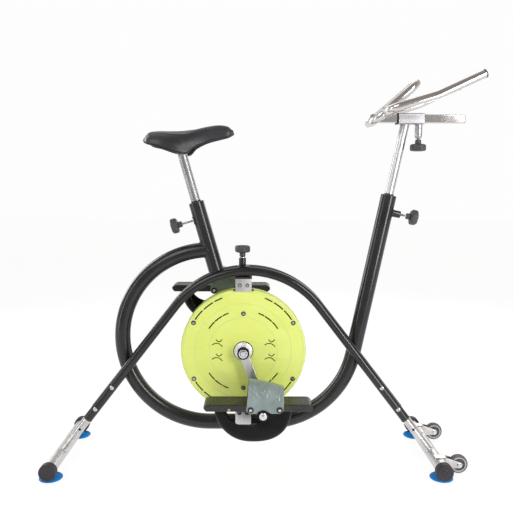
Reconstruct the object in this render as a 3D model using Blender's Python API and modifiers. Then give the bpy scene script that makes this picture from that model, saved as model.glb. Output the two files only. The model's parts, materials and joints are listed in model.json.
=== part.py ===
"""Underwater exercise bike, at its real size in metres, +Z up, +X towards the handlebar.

The origin is on the floor under the middle of the bike. Places along X are measured from the
disc's axle and shifted by AXLE_X; places across are distances from the middle plane.
The right side is -Y and the left side is +Y.
"""
import math

import bmesh
import bpy
from mathutils import Matrix, Vector

for old in list(bpy.data.objects):
    bpy.data.objects.remove(old, do_unlink=True)

# Clearance between neighbouring pieces, and the bevel on turned edges
FIT = 0.0003
EDGE = 0.001

# Disc axle
AXLE_X = -0.04585
DISC_ABOVE_RUN = 0.01685

# Main tube: seat tube, loop, floor run and column in one bent tube
MAIN_D = 0.0483
MAIN_WALL = 0.0020
LOOP_R = 0.279
LOOP_BOTTOM_Z = 0.114
LOOP_REAR_X = -0.105
LOOP_FRONT_X = 0.0768
COLUMN_LEAN = math.radians(11.31)
COLUMN_TOP_Z = 0.8436

# Seat tube, welded over the two arches and to the rear end of the loop
SEAT_LEAN = math.radians(16.05)
SEAT_TUBE_LENGTH = 0.1477

# Two arches over the disc
ARCH_D = 0.0285
ARCH_R = 0.285
ARCH_X = 0.0127
DISC_BELOW_CROWN = 0.0575
ARCH_CROWN_Y = 0.0243
LEG_END = 0.1415

# Stainless extensions in the arch legs, and the base tubes
EXTENSION_D = 0.0252
EXTENSION_WALL = 0.0015
EXTENSION_FOOT = 0.006
EXTENSION_TOP = 0.285
BASE_D = 0.038
BASE_WALL = 0.0018
BASE_Z = 0.031
BASE_HALF = 0.193
REAR_BASE_X = -0.5736
FRONT_BASE_X = 0.5991
CAP_D = 0.0500
CAP_LENGTH = 0.026
CAP_END = 0.004
CAP_ROUND = 0.006
FOOT_INSET = 0.036
FOOT_D = 0.069
FOOT_NECK_D = 0.024
FOOT_CROWN = 0.0055
FOOT_LIP = 0.0030
FOOT_HOLLOW = 0.0025
FOOT_RING = 0.005

# Transport wheels in front of the front base tube
WHEEL_X = 0.6594
WHEEL_INSET = 0.068
WHEEL_D = 0.0570
WHEEL_WIDTH = 0.020
WHEEL_CLEAR = 0.001
WHEEL_HUB_R = 0.011
WHEEL_RIM_R = 0.0195
WHEEL_DISH = 0.003
WHEEL_SHOULDER = 0.004
WHEEL_BOLT_D = 0.008
FORK_PLATE = 0.0020
FORK_GAP = 0.0015
FORK_NOSE_R = 0.0095
FORK_BACK = 0.012
FORK_SHOULDER = 0.020
WHEEL_NUT = 0.004

# Disc unit: two slotted covers with a vaned rotor between them
DISC_R = 0.198
DISC_HALF = 0.0225
COVER_WALL = 0.0030
COVER_STEP = 0.0012
COVER_SIDES = 40
HUB_CLEAR = 0.002
HUB_RING_D = 0.058
HUB_RING_DEPTH = 0.016
HUB_RING_WALL = 0.003
BEARING_D = 0.036
BEARING_WIDTH = 0.010
AXLE_D = 0.020
SLOT_WIDTH = 0.0042
SLOT_INSETS = (0.0159, 0.0679)
SLOT_ARCS = ((34.0, 45.0), (47.5, 58.0), (60.5, 68.0))
MARK_INSET = 0.114
MARK_Z = 0.0235
MARK_LENGTH = 0.028
MARK_RISE = 0.0035
MARK_STEP = 0.009
MARK_WIDTH = 0.0030
MARK_SLOPE = 0.18
ROTOR_RIM = 0.007
ROTOR_PLATE = 0.0030
ROTOR_RIM_HALF = 0.010
ROTOR_HUB_R = 0.024
ROTOR_HALF = 0.016
VANE_INSET = 0.001
VANE_OVERLAP = 0.002
VANES = 8
VANE_WALL = 0.0040

# Brackets between the disc unit and the frame
BRACKET_HALF = 0.025
CHEEK_WALL = 0.0035
TOP_BRACKET_RISE = 0.033
TOP_BRACKET_DROP = 0.007
BOTTOM_BRACKET_RISE = 0.012
TAB_HALF_X = 0.020
TAB_HALF_Y = 0.0090

# Knobs, all from one mould
KNOB_D = 0.049
KNOB_THICK = 0.022
KNOB_LOBES = 6
KNOB_DIP = 0.0022
KNOB_ROUND = 0.004
KNOB_HUB_D = 0.019
KNOB_HUB_LENGTH = 0.013
SCREW_D = 0.008
BOSS_D = 0.0225

# Resistance adjuster on the crown of the arches
ADJUSTER_X = -0.0035
ADJUSTER_TOP = 0.0389
ADJUSTER_BOTTOM = 0.0140
ADJUSTER_KNOB = 0.0665
ADJUSTER_SCREW = -0.0085
PAD_GAP = 0.005
PAD_THICK = 0.012
PAD_HEADROOM = 0.003
PAD_HALF_X = 0.020
PAD_HALF_Y = 0.010

# Cranks and pedals
CRANK_LENGTH = 0.170
CRANK_TURN = math.radians(20.85)
CRANK_WIDTH = 0.028
CRANK_Y = 0.043
CRANK_THICK = 0.010
CRANK_BOSS_D = 0.0374
CRANK_BOSS_PROUD = 0.0065
CRANK_BOLT_D = 0.0208
CRANK_BOLT_HEAD = 0.005
SPINDLE_D = 0.014
SPINDLE_HEAD_D = 0.023
SPINDLE_HEAD = 0.005
PEDAL_INNER_Y = 0.074
PEDAL_OUTER_Y = 0.162
PEDAL_BACK = 0.1745
PEDAL_FRONT = 0.1475
PEDAL_RISE = 0.0125
PEDAL_THICK = 0.0215
PEDAL_CHAMFER = 0.010
PEDAL_BOSS_D = 0.036
PEDAL_BOSS_PROUD = 0.004
BASKET_X = -0.0295
BASKET_HALF_X = 0.118
BASKET_HALF_Y = 0.042
BASKET_DEPTH = 0.098
BASKET_WALL = 0.0030
WINDOW_X = -0.0505
WINDOW_HALF_X = 0.075
WINDOW_DEPTH = 0.048
STRAP_BACK = -0.0505
STRAP_FRONT = 0.0605
STRAP_WALL = 0.0025
STRAP_DROP = 0.0015
STRAP_REAR_TOP = 0.0665
STRAP_FRONT_TOP = 0.0425
STRAP_NOTCH = 0.0225

# Seat post, clamp, rails and saddle
SEAT_POST_D = 0.0295
SEAT_POST_OUT = 0.1515
SEAT_POST_IN = 0.125
SEAT_HEAD_D = 0.026
SEAT_HEAD_HALF = 0.024
SEAT_KNOB_RISE = 0.098
SEAT_BOSS_END = 0.046
SEAT_KNOB_OUT = 0.085
BUSH_LENGTH = 0.035
BUSH_FLANGE = 0.0012
CLAMP_HALF_X = 0.020
CLAMP_HALF_Y = 0.0285
CLAMP_HEIGHT = 0.024
RAIL_D = 0.0070
RAIL_Y = 0.022

# Handlebar post with its sleeve
BAR_POST_D = 0.0272
BAR_POST_IN = 0.250
COLUMN_KNOB_Z = 0.794
COLUMN_BOSS_END = 0.048
COLUMN_KNOB_OUT = 0.091
SLEEVE_BACK = -0.0267
SLEEVE_FRONT = 0.0534
SLEEVE_WALL = 0.0016
LINER_WALL = 0.0012
LINER_COLLAR = 0.0035
SLIDE_KNOB_AHEAD = 0.0391
SLIDE_BOSS_END = 0.0593
SLIDE_KNOB_OUT = 0.0865

# Sliding handlebar, with places along X measured from the post's axis
SLIDER_SIZE = 0.026
SLIDER_Z = 1.0785
SLIDER_FRONT = 0.1763
SLIDER_BACK = -0.1064
GRIP_D = 0.0254
HORN_Y = 0.110
HORN_TIP = (0.1961, 1.1953)
HORN_BEND = (0.0636, 1.1347)
HORN_REAR = (-0.0750, 1.0936)
HORN_CORNER_R = 0.036
HORN_BEND_R = 0.120
HOOP_Y = 0.050
HOOP_REAR = (-0.1104, 1.064)
HOOP_TIP = (0.0242, 1.1824)
HOOP_CORNER_R = 0.036

# Sizes that follow from the ones above
MAIN_R = MAIN_D / 2
ARCH_TUBE_R = ARCH_D / 2
BASE_R = BASE_D / 2
SCREW_R = SCREW_D / 2
LOOP_Z = LOOP_BOTTOM_Z + LOOP_R
LOOP_TOP_Z = LOOP_Z + LOOP_R
AXLE_Z = LOOP_BOTTOM_Z + MAIN_R + DISC_ABOVE_RUN + DISC_R
ROTOR_R = DISC_R - COVER_WALL - PAD_HEADROOM - PAD_THICK - PAD_GAP
SLOT_RINGS = [DISC_R - inset for inset in SLOT_INSETS]
MARK_X = DISC_R - MARK_INSET
TOP_BRACKET_Z = AXLE_Z + DISC_R + TOP_BRACKET_RISE
ARCH_CROWN_Z = AXLE_Z + DISC_R + DISC_BELOW_CROWN
ARCH_Z = ARCH_CROWN_Z - ARCH_R
ADJUSTER_TOP_Z = ARCH_CROWN_Z + ADJUSTER_TOP
ADJUSTER_BOTTOM_Z = ARCH_CROWN_Z + ADJUSTER_BOTTOM
ADJUSTER_KNOB_Z = ARCH_CROWN_Z + ADJUSTER_KNOB
ADJUSTER_SCREW_Z = ARCH_CROWN_Z + ADJUSTER_SCREW
SEAT_TUBE_TOP_Z = LOOP_TOP_Z + SEAT_TUBE_LENGTH
SEAT_KNOB_Z = LOOP_TOP_Z + SEAT_KNOB_RISE
FOOT_Y = BASE_HALF - FOOT_INSET
WHEEL_Y = BASE_HALF - WHEEL_INSET
WHEEL_Z = WHEEL_D / 2 + WHEEL_CLEAR
SLEEVE_HALF = SLIDER_SIZE / 2 + 2 * FIT + LINER_WALL + SLEEVE_WALL
SIDES = (("right", -1.0), ("left", 1.0))
ENDS = (("rear", REAR_BASE_X), ("front", FRONT_BASE_X))

PARTS = bpy.data.collections.new("underwater_bike")
CUTTERS = bpy.data.collections.new("cutters")
for group in (PARTS, CUTTERS):
    bpy.context.scene.collection.children.link(group)


def at(x, y, z):
    """A point measured from the disc's axle along X, the middle plane and the floor."""
    return Vector((AXLE_X + x, y, z))


# Materials

def paint(name, colour, roughness, metallic=0.0):
    material = bpy.data.materials.new(name)
    material.use_nodes = True
    shader = material.node_tree.nodes["Principled BSDF"]
    shader.inputs["Base Color"].default_value = (*colour, 1.0)
    shader.inputs["Roughness"].default_value = roughness
    shader.inputs["Metallic"].default_value = metallic
    material.diffuse_color = (*colour, 1.0)
    return material


BLACK_COAT = paint("black_coat", (0.012, 0.012, 0.013), 0.32)
STEEL = paint("stainless_steel", (0.62, 0.61, 0.61), 0.28, 1.0)
POLISHED = paint("polished_steel", (0.66, 0.64, 0.62), 0.12, 1.0)
BRIGHT = paint("bright_screw", (0.75, 0.75, 0.76), 0.15, 1.0)
COVER_GREEN = paint("cover_green", (0.62, 0.73, 0.16), 0.45)
CHARCOAL = paint("charcoal_plastic", (0.045, 0.045, 0.048), 0.5)
BLACK_PLASTIC = paint("black_plastic", (0.016, 0.016, 0.017), 0.42)
RUBBER = paint("charcoal_rubber", (0.055, 0.052, 0.058), 0.7)
TYRE = paint("grey_tyre", (0.075, 0.07, 0.075), 0.65)
FOOT_BLUE = paint("foot_blue", (0.03, 0.23, 0.62), 0.4)
STRAP_GREY = paint("strap_grey", (0.23, 0.30, 0.30), 0.3)
VINYL = paint("saddle_vinyl", (0.022, 0.022, 0.026), 0.42)
PAD_GREY = paint("pad_grey", (0.12, 0.12, 0.12), 0.8)


# Modelling helpers

def new_object(name, mesh, material, cutter=False):
    obj = bpy.data.objects.new(name, mesh)
    if cutter:
        CUTTERS.objects.link(obj)
        obj.hide_render = True
        obj.display_type = "WIRE"
    else:
        PARTS.objects.link(obj)
        mesh.materials.append(material)
    return obj


def mesh_of(bm, name):
    mesh = bpy.data.meshes.new(name)
    bm.to_mesh(mesh)
    bm.free()
    mesh.shade_smooth()
    mesh.set_sharp_from_angle(angle=math.radians(35))
    return mesh


def aim(obj, point, direction):
    obj.location = point
    obj.rotation_mode = "QUATERNION"
    obj.rotation_quaternion = Vector(direction).to_track_quat("Z", "Y")


def rod(name, start, end, radius, material=None, sides=16, cutter=False):
    """A straight round bar between two points."""
    start = Vector(start)
    reach = Vector(end) - start
    bm = bmesh.new()
    bmesh.ops.create_cone(bm, cap_ends=True, segments=sides, radius1=radius, radius2=radius,
                          depth=reach.length, matrix=Matrix.Translation((0, 0, reach.length / 2)))
    obj = new_object(name, mesh_of(bm, name), material, cutter)
    aim(obj, start, reach)
    return obj


def bore(start, end, radius, sides=16):
    """A cutter whose flats clear a round bar of the given radius."""
    return rod("bore", start, end, radius / math.cos(math.pi / sides), None, sides, True)


def block(name, low, high, material=None, cutter=False):
    """A box between two opposite corners."""
    first, second = Vector(low), Vector(high)
    low = Vector(map(min, first, second))
    high = Vector(map(max, first, second))
    bm = bmesh.new()
    bmesh.ops.create_cube(bm, size=1.0)
    bmesh.ops.scale(bm, vec=high - low, verts=bm.verts)
    obj = new_object(name, mesh_of(bm, name), material, cutter)
    obj.location = (low + high) / 2
    return obj


def turned(name, profile, point, direction, material=None, sides=24, ring=False, cutter=False):
    """A profile of (radius, height) points, top to bottom, turned about its own Z."""
    mesh = bpy.data.meshes.new(name)
    count = len(profile)
    edges = [(i, i + 1) for i in range(count - 1)]
    if ring:
        edges.append((count - 1, 0))
    mesh.from_pydata([(radius, 0.0, height) for radius, height in profile], edges, [])
    obj = new_object(name, mesh, material, cutter)
    aim(obj, point, direction)
    screw = obj.modifiers.new("turn", "SCREW")
    screw.axis = "Z"
    screw.angle = 2 * math.pi
    screw.steps = sides
    screw.render_steps = sides
    screw.use_merge_vertices = True
    screw.merge_threshold = 0.00001
    screw.use_smooth_shade = False
    return obj


def to_mesh(obj, name, material, cutter):
    """The curve object as a closed mesh object at the same place."""
    graph = bpy.context.evaluated_depsgraph_get()
    mesh = bpy.data.meshes.new_from_object(obj.evaluated_get(graph))
    place = obj.matrix_world.copy()
    bpy.data.objects.remove(obj, do_unlink=True)
    bm = bmesh.new()
    bm.from_mesh(mesh)
    bpy.data.meshes.remove(mesh)
    bmesh.ops.remove_doubles(bm, verts=bm.verts, dist=0.000005)
    bmesh.ops.recalc_face_normals(bm, faces=bm.faces)
    result = new_object(name, mesh_of(bm, name), material, cutter)
    result.matrix_world = place
    return result


def tube(name, points, radius, material=None, sides=16, closed=False, cutter=False):
    """A round bar along a path."""
    curve = bpy.data.curves.new(name, "CURVE")
    curve.dimensions = "3D"
    curve.bevel_depth = radius
    curve.bevel_resolution = (sides - 4) // 2
    curve.use_fill_caps = not closed
    spline = curve.splines.new("POLY")
    spline.points.add(len(points) - 1)
    for place, point in zip(spline.points, points):
        place.co = (*point, 1.0)
    spline.use_cyclic_u = closed
    obj = bpy.data.objects.new(name, curve)
    CUTTERS.objects.link(obj)
    bpy.context.view_layer.update()
    return to_mesh(obj, name, material, cutter)


def plate(name, outlines, thickness, point, normal_y, material=None, cutter=False):
    """Flat outlines in the XZ plane, with their thickness along Y and their middle at point."""
    curve = bpy.data.curves.new(name, "CURVE")
    curve.dimensions = "2D"
    curve.fill_mode = "BOTH"
    curve.extrude = thickness / 2
    for outline in outlines:
        spline = curve.splines.new("POLY")
        spline.points.add(len(outline) - 1)
        for place, (x, z) in zip(spline.points, outline):
            place.co = (normal_y * x, z, 0.0, 1.0)
        spline.use_cyclic_u = True
    obj = bpy.data.objects.new(name, curve)
    CUTTERS.objects.link(obj)
    obj.location = point
    obj.rotation_euler = (math.pi / 2, 0.0, 0.0 if normal_y > 0 else math.pi)
    bpy.context.view_layer.update()
    return to_mesh(obj, name, material, cutter)


def combine(obj, operation, others):
    for other in others:
        step = obj.modifiers.new(operation.lower(), "BOOLEAN")
        step.operation = operation
        step.solver = "EXACT"
        step.object = other


def cut(obj, *others):
    combine(obj, "DIFFERENCE", others)


def join(obj, *others):
    combine(obj, "UNION", others)


def pivot(name, point):
    """An empty on a joint's axis."""
    empty = bpy.data.objects.new(name, None)
    empty.empty_display_size = 0.03
    empty.location = point
    PARTS.objects.link(empty)
    return empty


def hang(obj, empty):
    """Parent an object to an unturned empty and keep its place."""
    obj.parent = empty
    obj.location = obj.location - empty.location


def arc(radius, first, last, count):
    """Points (x, z) on an arc about the origin, from one angle in degrees to another."""
    points = []
    for i in range(count + 1):
        angle = math.radians(first + (last - first) * i / count)
        points.append((radius * math.cos(angle), radius * math.sin(angle)))
    return points


def rounded(points, radii, steps=5, closed=False):
    """A path whose corners are arcs of the given radii."""
    count = len(points)
    points = [Vector(point) for point in points]
    path = []
    for i, corner in enumerate(points):
        radius = radii[i]
        if radius == 0 or (not closed and i in (0, count - 1)):
            path.append(corner)
            continue
        back = (points[i - 1] - corner).normalized()
        ahead = (points[(i + 1) % count] - corner).normalized()
        half = back.angle(ahead) / 2
        centre = corner + (back + ahead).normalized() * radius / math.sin(half)
        first = corner + back * radius / math.tan(half) - centre
        last = corner + ahead * radius / math.tan(half) - centre
        for k in range(steps + 1):
            path.append(centre + radius * first.normalized().slerp(last.normalized(), k / steps))
    return path


# Lines of the frame

def column_point(z):
    """A point on the column's axis, which leaves the loop's front arc as a tangent."""
    bend = math.pi / 2 - COLUMN_LEAN
    start_x = LOOP_FRONT_X + LOOP_R * math.sin(bend)
    start_z = LOOP_Z - LOOP_R * math.cos(bend)
    return at(start_x + (z - start_z) * math.tan(COLUMN_LEAN), 0.0, z)


def bar_place(x, y, z):
    """A point measured along X from the handlebar post's axis at the slider's height."""
    return Vector((column_point(SLIDER_Z).x + x, y, z))


def seat_point(z):
    """A point on the seat tube's axis, which passes through the rear end of the loop."""
    top = LOOP_Z + LOOP_R
    return at(LOOP_REAR_X - (z - top) * math.tan(SEAT_LEAN), 0.0, z)


COLUMN_WAY = Vector((math.sin(COLUMN_LEAN), 0.0, math.cos(COLUMN_LEAN)))
SEAT_WAY = Vector((-math.sin(SEAT_LEAN), 0.0, math.cos(SEAT_LEAN)))


def leg_angle(base_x):
    """The slope of a leg that runs from a base tube and touches the arch's arc."""
    across = abs(base_x - ARCH_X)
    up = ARCH_Z - BASE_Z
    return math.atan2(up, across) + math.asin(ARCH_R / math.hypot(across, up))


def leg_place(base_x, distance):
    """The (x, z) of a point on a leg, at a distance from its base tube's axis."""
    inward = 1.0 if base_x < ARCH_X else -1.0
    angle = leg_angle(base_x)
    return base_x + inward * distance * math.cos(angle), BASE_Z + distance * math.sin(angle)


def splay_slope():
    """How far an arch moves outwards for each metre down, so that it passes the column."""
    angle = leg_angle(FRONT_BASE_X)
    column_foot = column_point(BASE_Z).x - AXLE_X
    closing = math.cos(angle) + math.sin(angle) * math.tan(COLUMN_LEAN)
    cross_z = BASE_Z + math.sin(angle) * (FRONT_BASE_X - column_foot) / closing
    cross_y = MAIN_R + ARCH_TUBE_R + 2 * FIT
    return (cross_y - ARCH_CROWN_Y) / (ARCH_CROWN_Z - cross_z)


SPLAY = splay_slope()


def arch_y(z):
    return ARCH_CROWN_Y + SPLAY * (ARCH_CROWN_Z - z)


def arch_point(x, z, side):
    return at(x, side * arch_y(z), z)


def arch_path(side, start):
    """An arch's axis from its rear leg's end, over the crown, to its front leg's end."""
    points = [arch_point(*leg_place(REAR_BASE_X, start), side)]
    rear = math.degrees(leg_angle(REAR_BASE_X))
    front = math.degrees(leg_angle(FRONT_BASE_X))
    for x, z in arc(ARCH_R, 90.0 + rear, 90.0 - front, 10):
        points.append(arch_point(ARCH_X + x, ARCH_Z + z, side))
    points.append(arch_point(*leg_place(FRONT_BASE_X, start), side))
    return points


# Frame

def knob(name, axis_point, direction, tip, out, material=CHARCOAL):
    """A lobed knob with its hub and screw, along a direction from a tube's axis."""
    direction = Vector(direction).normalized()
    inner = out - KNOB_THICK / 2
    hub = KNOB_HUB_D / 2
    profile = [(0.0, out), (hub, out), (hub, inner - KNOB_HUB_LENGTH),
               (SCREW_R, inner - KNOB_HUB_LENGTH), (SCREW_R, tip), (0.0, tip)]
    shaft = turned(name, profile, axis_point, direction, material, 12)
    points = []
    count = KNOB_LOBES * 4
    for i in range(count):
        turn = 2 * math.pi * i / count
        radius = KNOB_D / 2 - KNOB_DIP * (1 - math.cos(KNOB_LOBES * turn)) / 2
        points.append((radius * math.cos(turn), radius * math.sin(turn)))
    curve = bpy.data.curves.new(name + "_head", "CURVE")
    curve.dimensions = "2D"
    curve.fill_mode = "BOTH"
    curve.extrude = KNOB_THICK / 2 - KNOB_ROUND
    curve.bevel_depth = KNOB_ROUND
    curve.bevel_resolution = 0
    curve.offset = -KNOB_ROUND
    spline = curve.splines.new("POLY")
    spline.points.add(count - 1)
    for place, (x, y) in zip(spline.points, points):
        place.co = (x, y, 0.0, 1.0)
    spline.use_cyclic_u = True
    head = bpy.data.objects.new(name + "_head", curve)
    CUTTERS.objects.link(head)
    aim(head, Vector(axis_point) + direction * out, direction)
    bpy.context.view_layer.update()
    head = to_mesh(head, name + "_head", None, True)
    join(shaft, head)
    return shaft


def boss_with_hole(obj, axis_point, direction, start, end):
    """Weld a screw boss to a tube; the hole is cut by the tuple that is given back."""
    direction = Vector(direction).normalized()
    boss = rod("boss", axis_point + direction * start, axis_point + direction * end,
               BOSS_D / 2, None, 16, True)
    join(obj, boss)
    return bore(axis_point, axis_point + direction * (end + 0.01), SCREW_R + FIT, 12)


def main_tube_path(spare):
    """The main tube's axis, with spare length past both ends."""
    points = [at(LOOP_REAR_X + spare, 0.0, LOOP_Z + LOOP_R)]
    for x, z in arc(LOOP_R, 90.0, 270.0, 16):
        points.append(at(LOOP_REAR_X + x, 0.0, LOOP_Z + z))
    last = 360.0 - math.degrees(COLUMN_LEAN)
    for x, z in arc(LOOP_R, 270.0, last, 7):
        points.append(at(LOOP_FRONT_X + x, 0.0, LOOP_Z + z))
    points.append(column_point(COLUMN_TOP_Z) + COLUMN_WAY * spare)
    return points[1:] if spare == 0 else points


def build_frame():
    knob_way = Vector((math.cos(COLUMN_LEAN), 0.0, -math.sin(COLUMN_LEAN)))
    seat_knob_way = Vector((-math.cos(SEAT_LEAN), 0.0, -math.sin(SEAT_LEAN)))

    main = tube("main_tube", main_tube_path(0), MAIN_R, BLACK_COAT, 16)
    hole = boss_with_hole(main, column_point(COLUMN_KNOB_Z), knob_way, MAIN_R / 2, COLUMN_BOSS_END)
    bore_r = (MAIN_R - MAIN_WALL) / math.cos(math.pi / 12)
    inside = tube("main_bore", main_tube_path(0.03), bore_r, None, 12, cutter=True)
    seat_foot = seat_point(ARCH_CROWN_Z - ARCH_TUBE_R)
    seat_top = seat_point(SEAT_TUBE_TOP_Z)
    cope = bore(seat_foot - SEAT_WAY * 0.02, seat_top, MAIN_R + FIT, 16)
    cut(main, inside, hole, cope)

    seat = rod("seat_tube", seat_foot, seat_top, MAIN_R, BLACK_COAT, 16)
    hole = boss_with_hole(seat, seat_point(SEAT_KNOB_Z), seat_knob_way, MAIN_R / 2, SEAT_BOSS_END)
    seat_bore = bore(seat_foot - SEAT_WAY * 0.03, seat_top + SEAT_WAY * 0.03, MAIN_R - MAIN_WALL)
    cut(seat, seat_bore, hole)

    for label, side in SIDES:
        outer = tube(label + "_arch", arch_path(side, LEG_END), ARCH_TUBE_R, BLACK_COAT, 14)
        bore_r = (EXTENSION_D / 2 + FIT) / math.cos(math.pi / 10)
        inner = tube("arch_bore", arch_path(side, LEG_END - 0.02), bore_r, None, 10, cutter=True)
        cut(outer, inner)
        arch_cope = tube("arch_cope", arch_path(side, LEG_END), ARCH_TUBE_R + FIT, None, 14, cutter=True)
        cut(seat, arch_cope)


def build_base():
    for end, base_x in ENDS:
        base = rod(end + "_base_tube", at(base_x, -BASE_HALF, BASE_Z), at(base_x, BASE_HALF, BASE_Z),
                   BASE_R, STEEL, 16)
        cut(base, bore(at(base_x, -BASE_HALF - 0.01, BASE_Z), at(base_x, BASE_HALF + 0.01, BASE_Z),
                       BASE_R - BASE_WALL, 12))
        clear = BASE_R + FIT
        for label, side in SIDES:
            name = label + "_" + end
            axis_low = arch_point(*leg_place(base_x, EXTENSION_FOOT), side)
            axis_high = arch_point(*leg_place(base_x, EXTENSION_TOP), side)
            leg = rod(name + "_leg", axis_low, axis_high, EXTENSION_D / 2, STEEL, 14)
            run = (axis_high - axis_low).normalized()
            cut(leg, bore(axis_low - run * 0.03, axis_high + run * 0.01, EXTENSION_D / 2 - EXTENSION_WALL, 10),
                bore(at(base_x, -BASE_HALF, BASE_Z), at(base_x, BASE_HALF, BASE_Z), clear, 16))
            build_cap(name, base_x, side)
            build_foot(name, base_x, side)


def build_cap(name, base_x, side):
    """A rubber cup pushed over the end of a base tube."""
    outer = CAP_D / 2
    inner = (BASE_R + FIT) / math.cos(math.pi / 16)
    top = CAP_END
    bottom = CAP_END - CAP_LENGTH
    profile = [(0.0, top), (outer - CAP_ROUND, top), (outer, top - CAP_ROUND), (outer, bottom),
               (inner, bottom), (inner, FIT), (0.0, FIT)]
    turned(name + "_cap", profile, at(base_x, side * BASE_HALF, BASE_Z), (0, side, 0), RUBBER, 16)


def build_foot(name, base_x, side):
    """A suction foot under a base tube, hollow below."""
    rim = FOOT_D / 2
    neck = FOOT_NECK_D / 2
    profile = [(0.0, BASE_Z), (neck, BASE_Z), (neck, FOOT_CROWN), (rim, FOOT_LIP), (rim, 0.0),
               (rim - FOOT_RING, 0.0), (neck, FOOT_HOLLOW), (0.0, FOOT_HOLLOW)]
    foot = turned(name + "_foot", profile, at(base_x, side * FOOT_Y, 0.0), (0, 0, 1), FOOT_BLUE, 16)
    reach = FOOT_Y - FOOT_NECK_D
    cut(foot, bore(at(base_x, side * reach, BASE_Z), at(base_x, side * (FOOT_Y + FOOT_NECK_D), BASE_Z),
                   BASE_R + FIT, 16))


def build_wheel(label, side):
    """A transport wheel between two plates that hang from the front base tube."""
    y = side * WHEEL_Y
    inner_face = WHEEL_WIDTH / 2 + FORK_GAP
    top = BASE_Z + BASE_R + FIT
    reach = WHEEL_X - FRONT_BASE_X
    lift = WHEEL_Z - BASE_Z
    outline = [(-FORK_BACK, BASE_R + FIT + FORK_PLATE), (FORK_SHOULDER, BASE_R + FIT + FORK_PLATE)]
    for x, z in arc(FORK_NOSE_R, 75.0, -105.0, 4):
        outline.append((reach + x, lift + z))
    outline += [(WHEEL_SHOULDER, -FORK_BACK), (-FORK_BACK, 0.0)]
    fork = block(label + "_wheel_fork", at(FRONT_BASE_X - FORK_BACK, y - inner_face - FORK_PLATE, top),
                 at(FRONT_BASE_X + FORK_SHOULDER, y + inner_face + FORK_PLATE, top + FORK_PLATE), STEEL)
    for way in (-1.0, 1.0):
        cheek = plate("cheek", [outline], FORK_PLATE,
                      at(FRONT_BASE_X, y + way * (inner_face + FORK_PLATE / 2), BASE_Z), 1, None, True)
        join(fork, cheek)
    cut(fork, bore(at(FRONT_BASE_X, y - 0.03, BASE_Z), at(FRONT_BASE_X, y + 0.03, BASE_Z),
                   BASE_R + FIT, 16),
        bore(at(WHEEL_X, y - 0.03, WHEEL_Z), at(WHEEL_X, y + 0.03, WHEEL_Z),
             WHEEL_BOLT_D / 2 + FIT, 8))

    axis = pivot(label + "_wheel_axis", at(WHEEL_X, y, WHEEL_Z))
    half = WHEEL_WIDTH / 2
    rim = WHEEL_D / 2
    hole = (WHEEL_BOLT_D / 2 + FIT) / math.cos(math.pi / 18)
    profile = [(hole, half), (WHEEL_HUB_R, half), (WHEEL_HUB_R, half - WHEEL_DISH),
               (WHEEL_RIM_R, half - WHEEL_DISH), (WHEEL_RIM_R, half), (rim, half - WHEEL_SHOULDER)]
    profile += [(radius, -height) for radius, height in reversed(profile)]
    wheel = turned(label + "_wheel", profile, at(WHEEL_X, y, WHEEL_Z), (0, side, 0), TYRE, 18, True)
    hang(wheel, axis)

    out = inner_face + FORK_PLATE + FIT
    head = WHEEL_BOLT_D * 0.9
    shaft = WHEEL_BOLT_D / 2
    profile = [(0.0, out + WHEEL_NUT), (head, out + 0.8 * WHEEL_NUT), (head, out), (shaft, out),
               (shaft, -out), (0.0, -out)]
    turned(label + "_wheel_bolt", profile, at(WHEEL_X, y, WHEEL_Z), (0, side, 0), BRIGHT, 8)


# Disc unit

def slot_outlines():
    """Dashes in two rings, mirrored into four quadrants, and a small wave mark in each."""
    outlines = []
    half = SLOT_WIDTH / 2
    for ring in SLOT_RINGS:
        for first, last in SLOT_ARCS:
            dash = arc(ring + half, first, last, 1) + arc(ring - half, last, first, 1)
            outlines.append(dash)
    for row in (-0.5, 0.5):
        upper = []
        lower = []
        for i in range(3):
            along = MARK_LENGTH * (i / 2 - 0.5)
            x = MARK_X + along
            z = MARK_Z + row * MARK_STEP + MARK_RISE * (i % 2) + MARK_SLOPE * along
            upper.append((x, z + MARK_WIDTH / 2))
            lower.append((x, z - MARK_WIDTH / 2))
        outlines.append(upper + lower[::-1])
    everywhere = []
    for flip_x, flip_z in ((1, 1), (-1, 1), (1, -1), (-1, -1)):
        for outline in outlines:
            everywhere.append([(flip_x * x, flip_z * z) for x, z in outline])
    return everywhere


def build_cover(label, side):
    """A shallow dish with slots, open towards the other cover."""
    centre = at(0.0, 0.0, AXLE_Z)
    rim = DISC_R - COVER_STEP
    top = DISC_HALF - COVER_STEP
    half_step = 180.0 / COVER_SIDES
    circles = [arc(rim, half_step, 360.0 + half_step, COVER_SIDES)[:-1],
               arc(AXLE_D / 2 + HUB_CLEAR, 0.0, 360.0, 12)[:-1]]
    middle = centre + Vector((0, side * (DISC_HALF - COVER_WALL / 2), 0))
    cover = plate(label + "_cover", circles + slot_outlines(), COVER_WALL, middle, 1, COVER_GREEN)
    ring = [(rim - COVER_STEP, top), (rim + COVER_STEP / 2, top), (DISC_R, top - COVER_STEP), (DISC_R, FIT / 2),
            (DISC_R - COVER_WALL, FIT / 2), (DISC_R - COVER_WALL, top - COVER_STEP / 2)]
    join(cover, turned("cover_rim", ring, centre, (0, side, 0), None, COVER_SIDES, True, True))
    stem = bore(at(ADJUSTER_X, 0.0, AXLE_Z + ROTOR_R), at(ADJUSTER_X, 0.0, AXLE_Z + DISC_R + 0.01),
                SCREW_R + 2 * FIT, 12)
    cut(cover, stem)


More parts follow.
